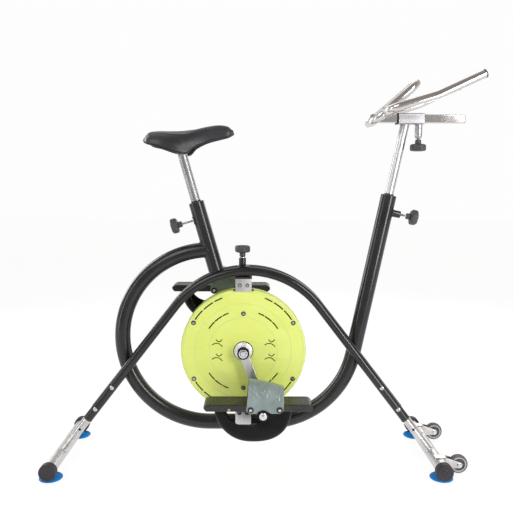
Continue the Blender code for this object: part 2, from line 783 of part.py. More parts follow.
def build_disc():
    centre = at(0.0, 0.0, AXLE_Z)
    axis = pivot("crank_axis", centre)
    axle_r = AXLE_D / 2
    end = CRANK_Y + CRANK_THICK
    axle = rod("axle", centre - Vector((0, end, 0)), centre + Vector((0, end, 0)), axle_r, STEEL, 12)
    hang(axle, axis)

    hole = (axle_r + FIT) / math.cos(math.pi / 24)
    rim_in = ROTOR_R - ROTOR_RIM
    web = ROTOR_PLATE / 2
    profile = [(hole, ROTOR_HALF), (ROTOR_HUB_R, ROTOR_HALF), (ROTOR_HUB_R, web), (rim_in, web),
               (rim_in, ROTOR_RIM_HALF), (ROTOR_R, ROTOR_RIM_HALF)]
    profile += [(radius, -height) for radius, height in reversed(profile)]
    rotor = turned("rotor", profile, centre, (0, 1, 0), BLACK_PLASTIC, 24, True)
    for i in range(VANES):
        angle = 2 * math.pi * i / VANES
        way = Vector((math.cos(angle), 0.0, math.sin(angle)))
        vane = block("vane", (-VANE_WALL / 2, -ROTOR_HALF + VANE_INSET, ROTOR_HUB_R - VANE_OVERLAP),
                     (VANE_WALL / 2, ROTOR_HALF - VANE_INSET, rim_in + VANE_OVERLAP), None, True)
        middle = (ROTOR_HUB_R + rim_in) / 2
        vane.location = centre + way * middle
        vane.rotation_euler = (0.0, math.pi / 2 - angle, 0.0)
        join(rotor, vane)
    hang(rotor, axis)

    for label, side in SIDES:
        build_cover(label, side)
        build_hub(label, side, centre)
        build_crank(label, side, centre, axis)


def build_hub(label, side, centre):
    """The bearing and the flanged ring that holds it on a cover."""
    low = DISC_HALF + FIT
    high = DISC_HALF + HUB_RING_DEPTH
    seat = (BEARING_D / 2 + FIT) / math.cos(math.pi / 16)
    lip = AXLE_D / 2 + HUB_CLEAR
    profile = [(lip, high), (HUB_RING_D / 2 - EDGE, high), (HUB_RING_D / 2, high - EDGE),
               (HUB_RING_D / 2, low), (seat, low), (seat, high - HUB_RING_WALL), (lip, high - HUB_RING_WALL)]
    turned(label + "_hub_ring", profile, centre, (0, side, 0), STEEL, 16, True)
    top = high - HUB_RING_WALL - FIT
    hole = (AXLE_D / 2 + FIT) / math.cos(math.pi / 16)
    race = [(hole, top), (BEARING_D / 2, top), (BEARING_D / 2, top - BEARING_WIDTH),
            (hole, top - BEARING_WIDTH)]
    turned(label + "_bearing", race, centre, (0, side, 0), BRIGHT, 16, True)


def build_crank(label, side, centre, axis):
    """A flat crank with a round boss; the left one points away from the right one."""
    way = -side
    drop = -way * CRANK_LENGTH * math.cos(CRANK_TURN)
    reach = way * CRANK_LENGTH * math.sin(CRANK_TURN)
    angle = math.degrees(math.atan2(drop, reach))
    half = CRANK_WIDTH / 2
    outline = [(reach + x, drop + z) for x, z in arc(half, angle - 90, angle + 90, 6)]
    outline += arc(half, angle + 90, angle + 270, 6)
    middle = centre + Vector((0, side * (CRANK_Y + CRANK_THICK / 2), 0))
    crank = plate(label + "_crank", [outline], CRANK_THICK, middle, 1, STEEL)
    face = CRANK_Y + CRANK_THICK
    ring = [(CRANK_BOLT_D / 2 + FIT, face + CRANK_BOSS_PROUD),
            (CRANK_BOSS_D / 2 - EDGE, face + CRANK_BOSS_PROUD),
            (CRANK_BOSS_D / 2, face + CRANK_BOSS_PROUD - EDGE),
            (CRANK_BOSS_D / 2, CRANK_Y + EDGE), (CRANK_BOLT_D / 2 + FIT, CRANK_Y + EDGE)]
    join(crank, turned("crank_boss", ring, centre, (0, side, 0), None, 16, True, True))
    far = centre + Vector((reach, 0, drop))
    cut(crank, bore(centre, centre + Vector((0, side * (face + CRANK_BOSS_PROUD / 2), 0)), AXLE_D / 2 + FIT, 12),
        bore(far, far + Vector((0, side * (face + 0.01), 0)), SPINDLE_D / 2 + FIT, 12))
    hang(crank, axis)

    low = face + FIT
    head = CRANK_BOLT_D / 2
    top = low + CRANK_BOLT_HEAD
    profile = [(0.0, top), (head - EDGE, top), (head, top - EDGE), (head, low), (0.0, low)]
    bolt = turned(label + "_crank_bolt", profile, centre, (0, side, 0), BRIGHT, 12)
    hang(bolt, axis)
    build_pedal(label, side, far, axis)


def build_pedal(label, side, middle, crank_axis):
    """A foot platform with its strap above and its basket below, on the crank's spindle."""
    axis = pivot(label + "_pedal_axis", middle)
    outer = PEDAL_OUTER_Y
    boss_end = outer + PEDAL_BOSS_PROUD
    head_low = boss_end + FIT
    head = SPINDLE_HEAD_D / 2
    shaft = SPINDLE_D / 2
    profile = [(0.0, head_low + SPINDLE_HEAD), (head - EDGE, head_low + SPINDLE_HEAD),
               (head, head_low + SPINDLE_HEAD - EDGE), (head, head_low), (shaft, head_low),
               (shaft, CRANK_Y), (0.0, CRANK_Y)]
    spindle = turned(label + "_pedal_spindle", profile, middle, (0, side, 0), BRIGHT, 12)
    hang(spindle, crank_axis)

    def here(x, across, z):
        return middle + Vector((x, side * across, z))

    top = PEDAL_RISE + PEDAL_THICK
    tip = PEDAL_CHAMFER
    outline = [(-PEDAL_BACK, PEDAL_RISE + tip), (-PEDAL_BACK + tip, PEDAL_RISE),
               (PEDAL_FRONT - tip, PEDAL_RISE), (PEDAL_FRONT, PEDAL_RISE + tip),
               (PEDAL_FRONT, top - tip / 2), (PEDAL_FRONT - tip / 2, top),
               (-PEDAL_BACK + tip, top), (-PEDAL_BACK, top - tip / 2)]
    width = outer - PEDAL_INNER_Y
    across = (outer + PEDAL_INNER_Y) / 2
    base = plate(label + "_pedal", [outline], width, here(0, across, 0), 1, CHARCOAL)
    join(base, rod("pedal_boss", here(0, PEDAL_INNER_Y - PEDAL_BOSS_PROUD, 0), here(0, boss_end, 0),
                   PEDAL_BOSS_D / 2, None, 20, True))
    hole = bore(here(0, PEDAL_INNER_Y - 0.01, 0), here(0, boss_end + 0.01, 0), shaft + FIT, 16)
    cut(base, hole)
    hang(base, axis)

    basket = build_basket(label, side, here, across)
    hang(basket, axis)
    strap = build_strap(label, side, here)
    hang(strap, axis)


def build_basket(label, side, here, across):
    """The lower half of a long egg-shaped shell, with a window through both sides."""
    name = label + "_pedal_basket"
    bm = bmesh.new()
    bmesh.ops.create_uvsphere(bm, u_segments=20, v_segments=10, radius=1.0)
    upper = [vert for vert in bm.verts if vert.co.z > 0.01]
    bmesh.ops.delete(bm, geom=upper, context="VERTS")
    for vert in bm.verts:
        vert.co.x *= BASKET_HALF_X
        vert.co.y *= BASKET_HALF_Y
        vert.co.z *= BASKET_DEPTH
    obj = new_object(name, mesh_of(bm, name), BLACK_PLASTIC)
    obj.location = here(BASKET_X, across, PEDAL_RISE)
    shell = obj.modifiers.new("wall", "SOLIDIFY")
    shell.thickness = BASKET_WALL
    shell.offset = -1.0
    window = arc(1.0, 180.0, 360.0, 8)
    outline = [(WINDOW_X + WINDOW_HALF_X * x, PEDAL_RISE + WINDOW_DEPTH * z) for x, z in window]
    outline += [(WINDOW_X + WINDOW_HALF_X, PEDAL_RISE + 0.02), (WINDOW_X - WINDOW_HALF_X, PEDAL_RISE + 0.02)]
    opening = plate("window", [outline], 0.12, here(0, across, 0), 1, None, True)
    round_boss = bore(here(0, PEDAL_INNER_Y - 0.02, 0), here(0, PEDAL_OUTER_Y + 0.02, 0),
                      PEDAL_BOSS_D / 2 + FIT, 20)
    above = block("above", here(BASKET_X - 0.15, across - 0.06, PEDAL_RISE - FIT),
                  here(BASKET_X + 0.15, across + 0.06, PEDAL_RISE + 0.03), None, True)
    cut(obj, above, opening, round_boss)
    return obj


def build_strap(label, side, here):
    """A wide band over the foot, lower towards the toe, fixed to both sides of the platform."""
    name = label + "_pedal_strap"
    inner = PEDAL_INNER_Y - FIT
    outer = PEDAL_OUTER_Y + FIT
    across = (inner + outer) / 2
    half = (outer - inner) / 2
    low = PEDAL_RISE - STRAP_DROP
    deck = PEDAL_RISE + PEDAL_THICK
    bm = bmesh.new()
    rows = []
    for k in range(3):
        share = k / 2
        x = STRAP_BACK + (STRAP_FRONT - STRAP_BACK) * share
        rise = STRAP_REAR_TOP + (STRAP_FRONT_TOP - STRAP_REAR_TOP) * share
        section = [(half, low), (half, deck)]
        for i in range(1, 12):
            turn = math.pi * i / 12
            section.append((half * math.cos(turn), deck + rise * math.sin(turn) ** 0.8))
        section += [(-half, deck), (-half, low)]
        rows.append([bm.verts.new((x, y, z)) for y, z in section])
    for back, ahead in zip(rows, rows[1:]):
        for i in range(len(back) - 1):
            bm.faces.new((back[i], back[i + 1], ahead[i + 1], ahead[i]))
    bmesh.ops.recalc_face_normals(bm, faces=bm.faces)
    middle = bm.faces[len(rows[0]) // 2]
    if middle.normal.z < 0:
        bmesh.ops.reverse_faces(bm, faces=bm.faces)
    obj = new_object(name, mesh_of(bm, name), STRAP_GREY)
    obj.location = here(0, across, 0)
    wall = obj.modifiers.new("wall", "SOLIDIFY")
    wall.thickness = STRAP_WALL
    wall.offset = 1.0
    notch = bore(here(0, PEDAL_INNER_Y - 0.02, 0), here(0, PEDAL_OUTER_Y + 0.02, 0), STRAP_NOTCH, 20)
    cut(obj, notch)
    return obj


def build_brackets():
    """The blocks that carry the disc unit: below the arches, and on the floor run of the main tube."""
    half = DISC_HALF + FIT + CHEEK_WALL
    disc = bore(at(0, -DISC_HALF - FIT, AXLE_Z), at(0, DISC_HALF + FIT, AXLE_Z), DISC_R + FIT, 96)
    low = AXLE_Z + DISC_R - TOP_BRACKET_DROP
    top = block("top_bracket", at(-BRACKET_HALF, -half, low), at(BRACKET_HALF, half, TOP_BRACKET_Z), STEEL)
    tab_top = ADJUSTER_BOTTOM_Z - FIT
    tab = block("tab", at(-TAB_HALF_X, -TAB_HALF_Y, TOP_BRACKET_Z - 0.002),
                at(TAB_HALF_X, TAB_HALF_Y, tab_top), None, True)
    join(top, tab)
    cut(top, disc, bore(at(ADJUSTER_X, 0, low - 0.01), at(ADJUSTER_X, 0, tab_top + 0.01),
                        SCREW_R + 2 * FIT, 12))

    half = MAIN_R + FIT + CHEEK_WALL
    high = AXLE_Z - DISC_R + BOTTOM_BRACKET_RISE
    bottom = block("bottom_bracket", at(-BRACKET_HALF, -half, LOOP_BOTTOM_Z),
                   at(BRACKET_HALF, half, high), STEEL)
    cut(bottom, disc, bore(at(-0.05, 0, LOOP_BOTTOM_Z), at(0.05, 0, LOOP_BOTTOM_Z), MAIN_R + FIT, 24))


def build_adjuster():
    """The boss on the arches' crown, the knob on it, and the brake pad that its screw pushes."""
    boss = rod("adjuster_boss", at(ADJUSTER_X, 0, ADJUSTER_BOTTOM_Z), at(ADJUSTER_X, 0, ADJUSTER_TOP_Z),
               BOSS_D / 2, BLACK_COAT, 16)
    cut(boss, bore(at(ADJUSTER_X, 0, ADJUSTER_BOTTOM_Z - 0.01), at(ADJUSTER_X, 0, ADJUSTER_TOP_Z + 0.01),
                   SCREW_R + FIT, 12))
    for label, side in SIDES:
        cut(boss, tube("boss_cope", arch_path(side, LEG_END), ARCH_TUBE_R + FIT, None, 14, cutter=True))

    axis = pivot("resistance_axis", at(ADJUSTER_X, 0, ADJUSTER_SCREW_Z))
    turn = knob("resistance_knob", at(ADJUSTER_X, 0, ADJUSTER_SCREW_Z), (0, 0, 1), 0.0,
                ADJUSTER_KNOB_Z - ADJUSTER_SCREW_Z)
    hang(turn, axis)

    pad_low = AXLE_Z + ROTOR_R
    pad_high = pad_low + PAD_GAP + PAD_THICK
    rub = bore(at(0, -0.03, AXLE_Z), at(0, 0.03, AXLE_Z), ROTOR_R + PAD_GAP, 96)
    pad = block("brake_pad", at(ADJUSTER_X - PAD_HALF_X, -PAD_HALF_Y, pad_low),
                at(ADJUSTER_X + PAD_HALF_X, PAD_HALF_Y, pad_high), PAD_GREY)
    stem = rod("stem", at(ADJUSTER_X, 0, pad_high - 0.002), at(ADJUSTER_X, 0, ADJUSTER_SCREW_Z - FIT),
               SCREW_R, None, 12, True)
    join(pad, stem)
    cut(pad, rub)


# Seat

def bush(name, top_point, way, post_d, material=CHARCOAL):
    """A plastic sleeve between a round post and the main tube's bore."""
    outer = MAIN_R - MAIN_WALL - FIT
    inner = (post_d / 2 + FIT) / math.cos(math.pi / 16)
    flange = MAIN_R - BUSH_FLANGE
    profile = [(inner, FIT + BUSH_FLANGE), (flange, FIT + BUSH_FLANGE), (flange, FIT), (outer, FIT),
               (outer, -BUSH_LENGTH), (inner, -BUSH_LENGTH)]
    turned(name, profile, top_point, way, material, 16, True)


def build_seat():
    top = seat_point(SEAT_TUBE_TOP_Z)
    bush("seat_bush", top, SEAT_WAY, SEAT_POST_D)
    knob_way = (-math.cos(SEAT_LEAN), 0.0, -math.sin(SEAT_LEAN))
    seat_knob_axis = seat_point(SEAT_KNOB_Z)
    turn = knob("seat_knob", seat_knob_axis, knob_way, SEAT_POST_D / 2 + FIT, SEAT_KNOB_OUT)
    hang(turn, pivot("seat_knob_axis", seat_knob_axis))

    slide = pivot("seat_slide", top)
    head = top + SEAT_WAY * (SEAT_POST_OUT + SEAT_HEAD_D / 2 - 0.004)
    post = rod("seat_post", top - SEAT_WAY * SEAT_POST_IN, head, SEAT_POST_D / 2, STEEL, 16)
    join(post, rod("post_head", head - Vector((0, SEAT_HEAD_HALF, 0)), head + Vector((0, SEAT_HEAD_HALF, 0)),
                   SEAT_HEAD_D / 2, None, 16, True))
    tilt = pivot("saddle_tilt", head)
    hang(post, slide)

    clear = SEAT_HEAD_D / 2 + FIT
    clamp = block("seat_clamp", head + Vector((-CLAMP_HALF_X, -CLAMP_HALF_Y, 0.003)),
                  head + Vector((CLAMP_HALF_X, CLAMP_HALF_Y, CLAMP_HEIGHT)), BLACK_PLASTIC)
    rail_z = head.z + clear + 0.004
    for label, side in SIDES:
        line = rail_path(head, rail_z, side)
        rail = tube("rail", line, RAIL_D / 2, None, 8, cutter=True)
        join(clamp, rail)
    cut(clamp, bore(head - Vector((0, 0.05, 0)), head + Vector((0, 0.05, 0)), clear, 16),
        bore(head - SEAT_WAY * 0.05, head + SEAT_WAY * 0.012, SEAT_POST_D / 2 + 4 * FIT, 16))
    hang(clamp, tilt)
    saddle = build_saddle(head, rail_z)
    hang(saddle, tilt)


def rail_path(head, rail_z, side, spare=0.0):
    """One rail of the saddle, from its rear socket under the clamp to its nose socket."""
    points = [(-0.098, RAIL_Y + 0.014, 0.0185), (-0.062, RAIL_Y + 0.010, -0.002),
              (-0.030, RAIL_Y, 0.0), (0.028, RAIL_Y, 0.006), (0.070, RAIL_Y - 0.004, 0.024),
              (0.112, RAIL_Y - 0.011, 0.040)]
    radii = [0, 0.020, 0.030, 0.040, 0.040, 0]
    corners = [Vector((head.x + x, side * y, rail_z + z)) for x, y, z in points]
    corners[0] += (corners[0] - corners[1]).normalized() * spare
    corners[-1] += (corners[-1] - corners[-2]).normalized() * spare
    return rounded(corners, radii, 2)


# Saddle stations: place along X from the seat head, half width, top, skirt edge, in metres
SADDLE = ((-0.1130, 0.040, 0.0405, 0.0270), (-0.1020, 0.062, 0.0560, 0.0160),
          (-0.0720, 0.075, 0.0610, 0.0080), (-0.0350, 0.076, 0.0600, -0.0060),
          (0.0020, 0.066, 0.0600, -0.0140), (0.0400, 0.044, 0.0650, 0.0060),
          (0.0780, 0.029, 0.0730, 0.0230), (0.1150, 0.024, 0.0790, 0.0340),
          (0.1450, 0.020, 0.0740, 0.0420), (0.1570, 0.012, 0.0640, 0.0480))
SADDLE_SHELL = 0.020


def build_saddle(head, rail_z):
    """A padded saddle, crowned above and hollow below, lofted through its stations."""
    bm = bmesh.new()
    rings = []
    for x, half, top, edge in SADDLE:
        under = max(top - SADDLE_SHELL, edge + 0.004)
        side = [(0.0, top), (0.55, top - 0.0015), (0.90, top - 0.0090), (1.0, (top + edge) / 2),
                (0.96, edge), (0.80, edge), (0.62, under - 0.003), (0.0, under)]
        ring = [(half * share, z) for share, z in side]
        ring += [(-y, z) for y, z in reversed(ring[1:-1])]
        rings.append([bm.verts.new((x, y, z)) for y, z in ring])
    for back, ahead in zip(rings, rings[1:]):
        count = len(back)
        for i in range(count):
            k = (i + 1) % count
            bm.faces.new((back[i], back[k], ahead[k], ahead[i]))
    bm.faces.new(rings[0][::-1])
    bm.faces.new(rings[-1])
    bmesh.ops.recalc_face_normals(bm, faces=bm.faces)
    saddle = new_object("saddle", mesh_of(bm, "saddle"), VINYL)
    saddle.location = head
    soft = saddle.modifiers.new("soft", "SUBSURF")
    soft.levels = 1
    soft.render_levels = 1
    for label, side in SIDES:
        path = rail_path(head, rail_z, side, 2 * FIT)
        cut(saddle, tube("rail_socket", path, RAIL_D / 2 + 2 * FIT, None, 8, cutter=True))
    return saddle


# Handlebar

def build_handlebar():
    top = column_point(COLUMN_TOP_Z)
    bush("column_bush", top, COLUMN_WAY, BAR_POST_D)
    knob_way = Vector((math.cos(COLUMN_LEAN), 0.0, -math.sin(COLUMN_LEAN)))
    knob_axis = column_point(COLUMN_KNOB_Z)
    turn = knob("column_knob", knob_axis, knob_way, BAR_POST_D / 2 + FIT, COLUMN_KNOB_OUT)
    hang(turn, pivot("column_knob_axis", knob_axis))

    lift = pivot("handlebar_lift", top)
    post_top = column_point(SLIDER_Z - SLIDER_SIZE / 2 + 0.004)
    post = rod("handlebar_post", top - COLUMN_WAY * BAR_POST_IN, post_top, BAR_POST_D / 2, STEEL, 16)
    half = SLEEVE_HALF
    sleeve = block("sleeve", bar_place(SLEEVE_BACK, -half, SLIDER_Z - half),
                   bar_place(SLEEVE_FRONT, half, SLIDER_Z + half), None, True)
    join(post, sleeve)
    slide_axis = bar_place(SLIDE_KNOB_AHEAD, 0.0, SLIDER_Z)
    down = Vector((0, 0, -1))
    hole = boss_with_hole(post, slide_axis, down, half - 0.001, SLIDE_BOSS_END)
    inner = half - SLEEVE_WALL
    tunnel = block("tunnel", bar_place(SLEEVE_BACK - 0.03, -inner, SLIDER_Z - inner),
                   bar_place(SLEEVE_FRONT + 0.03, inner, SLIDER_Z + inner), None, True)
    cut(post, tunnel, hole)
    hang(post, lift)

    outer = inner - FIT
    liner = block("slider_bush", bar_place(SLEEVE_BACK - 0.001, -outer, SLIDER_Z - outer),
                  bar_place(SLEEVE_FRONT + 0.001, outer, SLIDER_Z + outer), BLACK_PLASTIC)
    collar = block("collar", bar_place(SLEEVE_BACK - FIT - LINER_COLLAR, -half, SLIDER_Z - half),
                   bar_place(SLEEVE_BACK - FIT, half, SLIDER_Z + half), None, True)
    open_half = SLIDER_SIZE / 2 + FIT
    way_through = block("way", bar_place(SLEEVE_BACK - 0.03, -open_half, SLIDER_Z - open_half),
                        bar_place(SLEEVE_FRONT + 0.03, open_half, SLIDER_Z + open_half), None, True)
    join(liner, collar)
    cut(liner, way_through, bore(slide_axis, slide_axis + down * 0.03, SCREW_R + FIT, 12))
    hang(liner, lift)

    turn = knob("slide_knob", slide_axis, down, SLIDER_SIZE / 2 + FIT, SLIDE_KNOB_OUT)
    axis = pivot("slide_knob_axis", slide_axis)
    hang(turn, axis)

    slide = pivot("handlebar_slide", slide_axis)
    bar_half = SLIDER_SIZE / 2
    bar = block("handlebar", bar_place(SLIDER_BACK, -bar_half, SLIDER_Z - bar_half),
                bar_place(SLIDER_FRONT, bar_half, SLIDER_Z + bar_half), POLISHED)
    rear_x, rear_z = HOOP_REAR
    tip_x, tip_z = HOOP_TIP
    corners = [bar_place(rear_x, -HOOP_Y, rear_z), bar_place(tip_x, -HOOP_Y, tip_z),
               bar_place(tip_x, HOOP_Y, tip_z), bar_place(rear_x, HOOP_Y, rear_z)]
    loop = rounded(corners, [HOOP_CORNER_R] * 4, 4, True)
    join(bar, tube("hoop", loop, GRIP_D / 2, None, 12, True, True))
    for label, side in SIDES:
        horn = [bar_place(x, side * HORN_Y, z) for x, z in (HORN_TIP, HORN_BEND, HORN_REAR)]
        horn.append(bar_place(HORN_REAR[0], side * HOOP_Y, HORN_REAR[1]))
        path = rounded(horn, [0, HORN_BEND_R, HORN_CORNER_R, 0], 4)
        join(bar, tube("horn", path, GRIP_D / 2, None, 12, cutter=True))
    hang(bar, slide)


build_frame()
build_base()
for label, side in SIDES:
    build_wheel(label, side)
build_disc()
build_brackets()
build_adjuster()
build_seat()
build_handlebar()
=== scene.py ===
"""The underwater exercise bike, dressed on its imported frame. Metres, +Z up, +X forwards.

Places along X are measured from the disc's axle, as in the part, and shifted by AXLE_X.
Tables of profiles, outlines and boxes are in millimetres.
"""
import json
import math

import bmesh
import bpy
from mathutils import Matrix, Vector, noise

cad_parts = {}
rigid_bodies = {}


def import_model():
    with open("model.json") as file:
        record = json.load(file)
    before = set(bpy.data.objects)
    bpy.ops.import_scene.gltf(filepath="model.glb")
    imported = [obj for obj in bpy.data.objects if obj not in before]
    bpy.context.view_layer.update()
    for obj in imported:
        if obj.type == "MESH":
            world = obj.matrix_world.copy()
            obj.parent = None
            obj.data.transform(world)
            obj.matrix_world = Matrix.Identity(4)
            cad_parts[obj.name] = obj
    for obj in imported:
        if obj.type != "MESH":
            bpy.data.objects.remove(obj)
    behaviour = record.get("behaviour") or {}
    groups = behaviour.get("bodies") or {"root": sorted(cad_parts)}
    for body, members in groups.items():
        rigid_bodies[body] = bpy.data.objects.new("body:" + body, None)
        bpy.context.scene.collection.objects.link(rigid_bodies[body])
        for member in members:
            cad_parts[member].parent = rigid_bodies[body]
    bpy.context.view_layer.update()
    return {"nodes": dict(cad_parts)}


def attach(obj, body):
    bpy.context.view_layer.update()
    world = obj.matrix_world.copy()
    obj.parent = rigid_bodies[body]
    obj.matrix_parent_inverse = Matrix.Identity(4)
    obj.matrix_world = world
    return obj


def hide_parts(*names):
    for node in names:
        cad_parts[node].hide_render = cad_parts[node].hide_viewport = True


for leftover in list(bpy.data.objects):
    bpy.data.objects.remove(leftover, do_unlink=True)

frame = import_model()

# Sizes shared with the frame
AXLE_X, AXLE_Z = -0.04585, 0.353
MAIN_R = 0.02415
LOOP_R, LOOP_Z, LOOP_REAR_X, LOOP_FRONT_X = 0.279, 0.393, -0.105, 0.0768
COLUMN_LEAN, COLUMN_TOP_Z, COLUMN_KNOB_Z = math.radians(11.31), 0.8436, 0.794
SEAT_LEAN, SEAT_TOP_Z, SEAT_KNOB_Z = math.radians(16.05), 0.8197, 0.770
SEAT_POST_R, BAR_POST_R, GRIP_R = 0.01475, 0.0136, 0.0127
BOSS_R = 0.01125
ARCH_R, ARCH_PIPE_R, ARCH_X, ARCH_CROWN_Z, ARCH_CROWN_Y = 0.285, 0.01425, 0.0127, 0.6085, 0.0243
ARCH_Z = ARCH_CROWN_Z - ARCH_R
LEG_END, EXTENSION_R = 0.1415, 0.0126
BASE_R, BASE_Z, BASE_HALF = 0.019, 0.031, 0.193
REAR_BASE_X, FRONT_BASE_X = -0.5736, 0.5991
FOOT_Y = 0.157
WHEEL_X, WHEEL_Y, WHEEL_Z = 0.6594, 0.125, 0.0295
DISC_R, DISC_HALF = 0.198, 0.0225
CRANK_LENGTH, CRANK_TURN, CRANK_Y, CRANK_FACE = 0.170, math.radians(20.85), 0.043, 0.053
PEDAL_INNER_Y, PEDAL_OUTER_Y, PEDAL_RISE, PEDAL_TOP = 0.074, 0.162, 0.0125, 0.034
SLIDER_Z, SLIDE_KNOB_X = 1.0785, 0.0391
ADJUSTER_X = -0.0035
WAYS = (-1.0, 1.0)
SIDES = (("right", -1.0), ("left", 1.0))
ENDS = (("rear", REAR_BASE_X), ("front", FRONT_BASE_X))

PIECES = bpy.data.collections.new("dressed_bike")
SPARES = bpy.data.collections.new("spares")
for group in (PIECES, SPARES):
    bpy.context.scene.collection.children.link(group)


def vec(x, y, z):
    return Vector((x, y, z))


def at(x, y, z):
    """A point measured from the disc's axle along X, the middle plane and the floor."""
    return vec(AXLE_X + x, y, z)


# Lines of the frame, as the part has them

def column_point(z):
    start_x = LOOP_FRONT_X + LOOP_R * math.cos(COLUMN_LEAN)
    start_z = LOOP_Z - LOOP_R * math.sin(COLUMN_LEAN)
    return at(start_x + (z - start_z) * math.tan(COLUMN_LEAN), 0.0, z)


def seat_point(z):
    return at(LOOP_REAR_X - (z - LOOP_Z - LOOP_R) * math.tan(SEAT_LEAN), 0.0, z)


COLUMN_WAY = vec(math.sin(COLUMN_LEAN), 0.0, math.cos(COLUMN_LEAN))
SEAT_WAY = vec(-math.sin(SEAT_LEAN), 0.0, math.cos(SEAT_LEAN))
COLUMN_KNOB_WAY = vec(math.cos(COLUMN_LEAN), 0.0, -math.sin(COLUMN_LEAN))
SEAT_KNOB_WAY = vec(-math.cos(SEAT_LEAN), 0.0, -math.sin(SEAT_LEAN))
ACROSS, UP, DOWN = vec(0, 1, 0), vec(0, 0, 1), vec(0, 0, -1)
COLUMN_TOP, SEAT_TOP = column_point(COLUMN_TOP_Z), seat_point(SEAT_TOP_Z)
SEAT_HEAD = SEAT_TOP + SEAT_WAY * 0.1605
DISC_CENTRE = at(0.0, 0.0, AXLE_Z)


def leg_angle(base_x):
    across, up = abs(base_x - ARCH_X), ARCH_Z - BASE_Z
    return math.atan2(up, across) + math.asin(ARCH_R / math.hypot(across, up))


def splay_slope():
    """How far an arch leans out for each metre down, so that its legs pass beside the column."""
    angle = leg_angle(FRONT_BASE_X)
    column_foot = column_point(BASE_Z).x - AXLE_X
    closing = math.cos(angle) + math.sin(angle) * math.tan(COLUMN_LEAN)
    cross_z = BASE_Z + math.sin(angle) * (FRONT_BASE_X - column_foot) / closing
    return (MAIN_R + ARCH_PIPE_R + 0.0006 - ARCH_CROWN_Y) / (ARCH_CROWN_Z - cross_z)


SPLAY = splay_slope()


def arch_point(x, z, side):
    return at(x, side * (ARCH_CROWN_Y + SPLAY * (ARCH_CROWN_Z - z)), z)


def leg_point(base_x, distance, side):
    """A point on a leg's axis, at a distance from the base tube."""
    angle = leg_angle(base_x)
    inward = 1.0 if base_x < ARCH_X else -1.0
    return arch_point(base_x + inward * distance * math.cos(angle), BASE_Z + distance * math.sin(angle), side)


def arc(radius, first, last, count):
    """Points (x, z) on an arc about the origin, from one angle in degrees to another."""
    turns = [math.radians(first + (last - first) * i / count) for i in range(count + 1)]
    return [(radius * math.cos(turn), radius * math.sin(turn)) for turn in turns]


def rounded(points, radii, steps=8, closed=False):
    """A path whose corners are arcs of the given radii."""
    points = [Vector(point) for point in points]
    count = len(points)
    path = []
    for i, corner in enumerate(points):
        if radii[i] == 0 or (not closed and i in (0, count - 1)):
            path.append(corner)
            continue
        back = (points[i - 1] - corner).normalized()
        ahead = (points[(i + 1) % count] - corner).normalized()
        half = back.angle(ahead) / 2
        centre = corner + (back + ahead).normalized() * radii[i] / math.sin(half)
        first, last = ((corner + way * radii[i] / math.tan(half) - centre).normalized() for way in (back, ahead))
        path += [centre + radii[i] * first.slerp(last, k / steps) for k in range(steps + 1)]
    return path


def mm(rows, steps=4, closed=False):
    """Flat points in metres from rows of (radius or x, height) in millimetres; a third value rounds the corner."""
    rows = [[value / 1000 for value in (*row, 0.0)[:3]] for row in rows]
    path = rounded([(first, second, 0.0) for first, second, soft in rows], [row[2] for row in rows], steps, closed)
    return [(point.x, point.y) for point in path]


def mirrored(rows):
    """A turning profile followed by its mirror image."""
    return rows + [(radius, -height) for radius, height in reversed(rows) if height]


# Making meshes

def circle(across, other, sides):
    """Directions round a circle."""
    angles = [2 * math.pi * i / sides for i in range(sides)]
    return [math.cos(angle) * across + math.sin(angle) * other for angle in angles]


def skin(bm, rings, closed=False):
    """Faces between neighbouring rings; a ring of one point makes a fan."""
    pairs = list(zip(rings, rings[1:]))
    if closed:
        pairs.append((rings[-1], rings[0]))
    for first, second in pairs:
        sides = max(len(first), len(second))
        for i in range(sides):
            k = (i + 1) % sides
            corners = (first[i % len(first)], first[k % len(first)], second[k % len(second)], second[i % len(second)])
            corners = list(dict.fromkeys(corners))
            if len(corners) > 2:
                bm.faces.new(corners)


def sheet_faces(bm, rows):
    """Faces over a grid of points."""
    grid = [[bm.verts.new(point) for point in row] for row in rows]
    for near, far in zip(grid, grid[1:]):
        for k in range(len(near) - 1):
            bm.faces.new((near[k], far[k], far[k + 1], near[k + 1]))


def turn(bm, profile, place, way, sides=48, closed=False):
    """A profile of (radius, height) points turned about a line through place."""
    way = Vector(way).normalized()
    across = way.orthogonal().normalized()
    spokes = circle(across, way.cross(across), sides)
    rings = []
    for radius, height in profile:
        foot = Vector(place) + way * height
        spots = [foot] if radius < 1e-7 else [foot + radius * spoke for spoke in spokes]
        rings.append([bm.verts.new(spot) for spot in spots])
    skin(bm, rings, closed)


def frames_along(path, closed):
    """The way along the path and two directions across it at each point, carried along without twist."""
    last = len(path) - 1
    ways = []
    for i in range(last + 1):
        back = path[i - 1] if (i or closed) else path[0]
        ahead = path[(i + 1) % (last + 1)] if (i < last or closed) else path[-1]
        ways.append((ahead - back).normalized())
    side = ways[0].orthogonal().normalized()
    if abs(ways[0].y) < 0.9:
        side = (ACROSS - ways[0] * ways[0].y).normalized()
    frames = []
    for way in ways:
        side = (side - way * side.dot(way)).normalized()
        frames.append((way, side, way.cross(side)))
    return frames


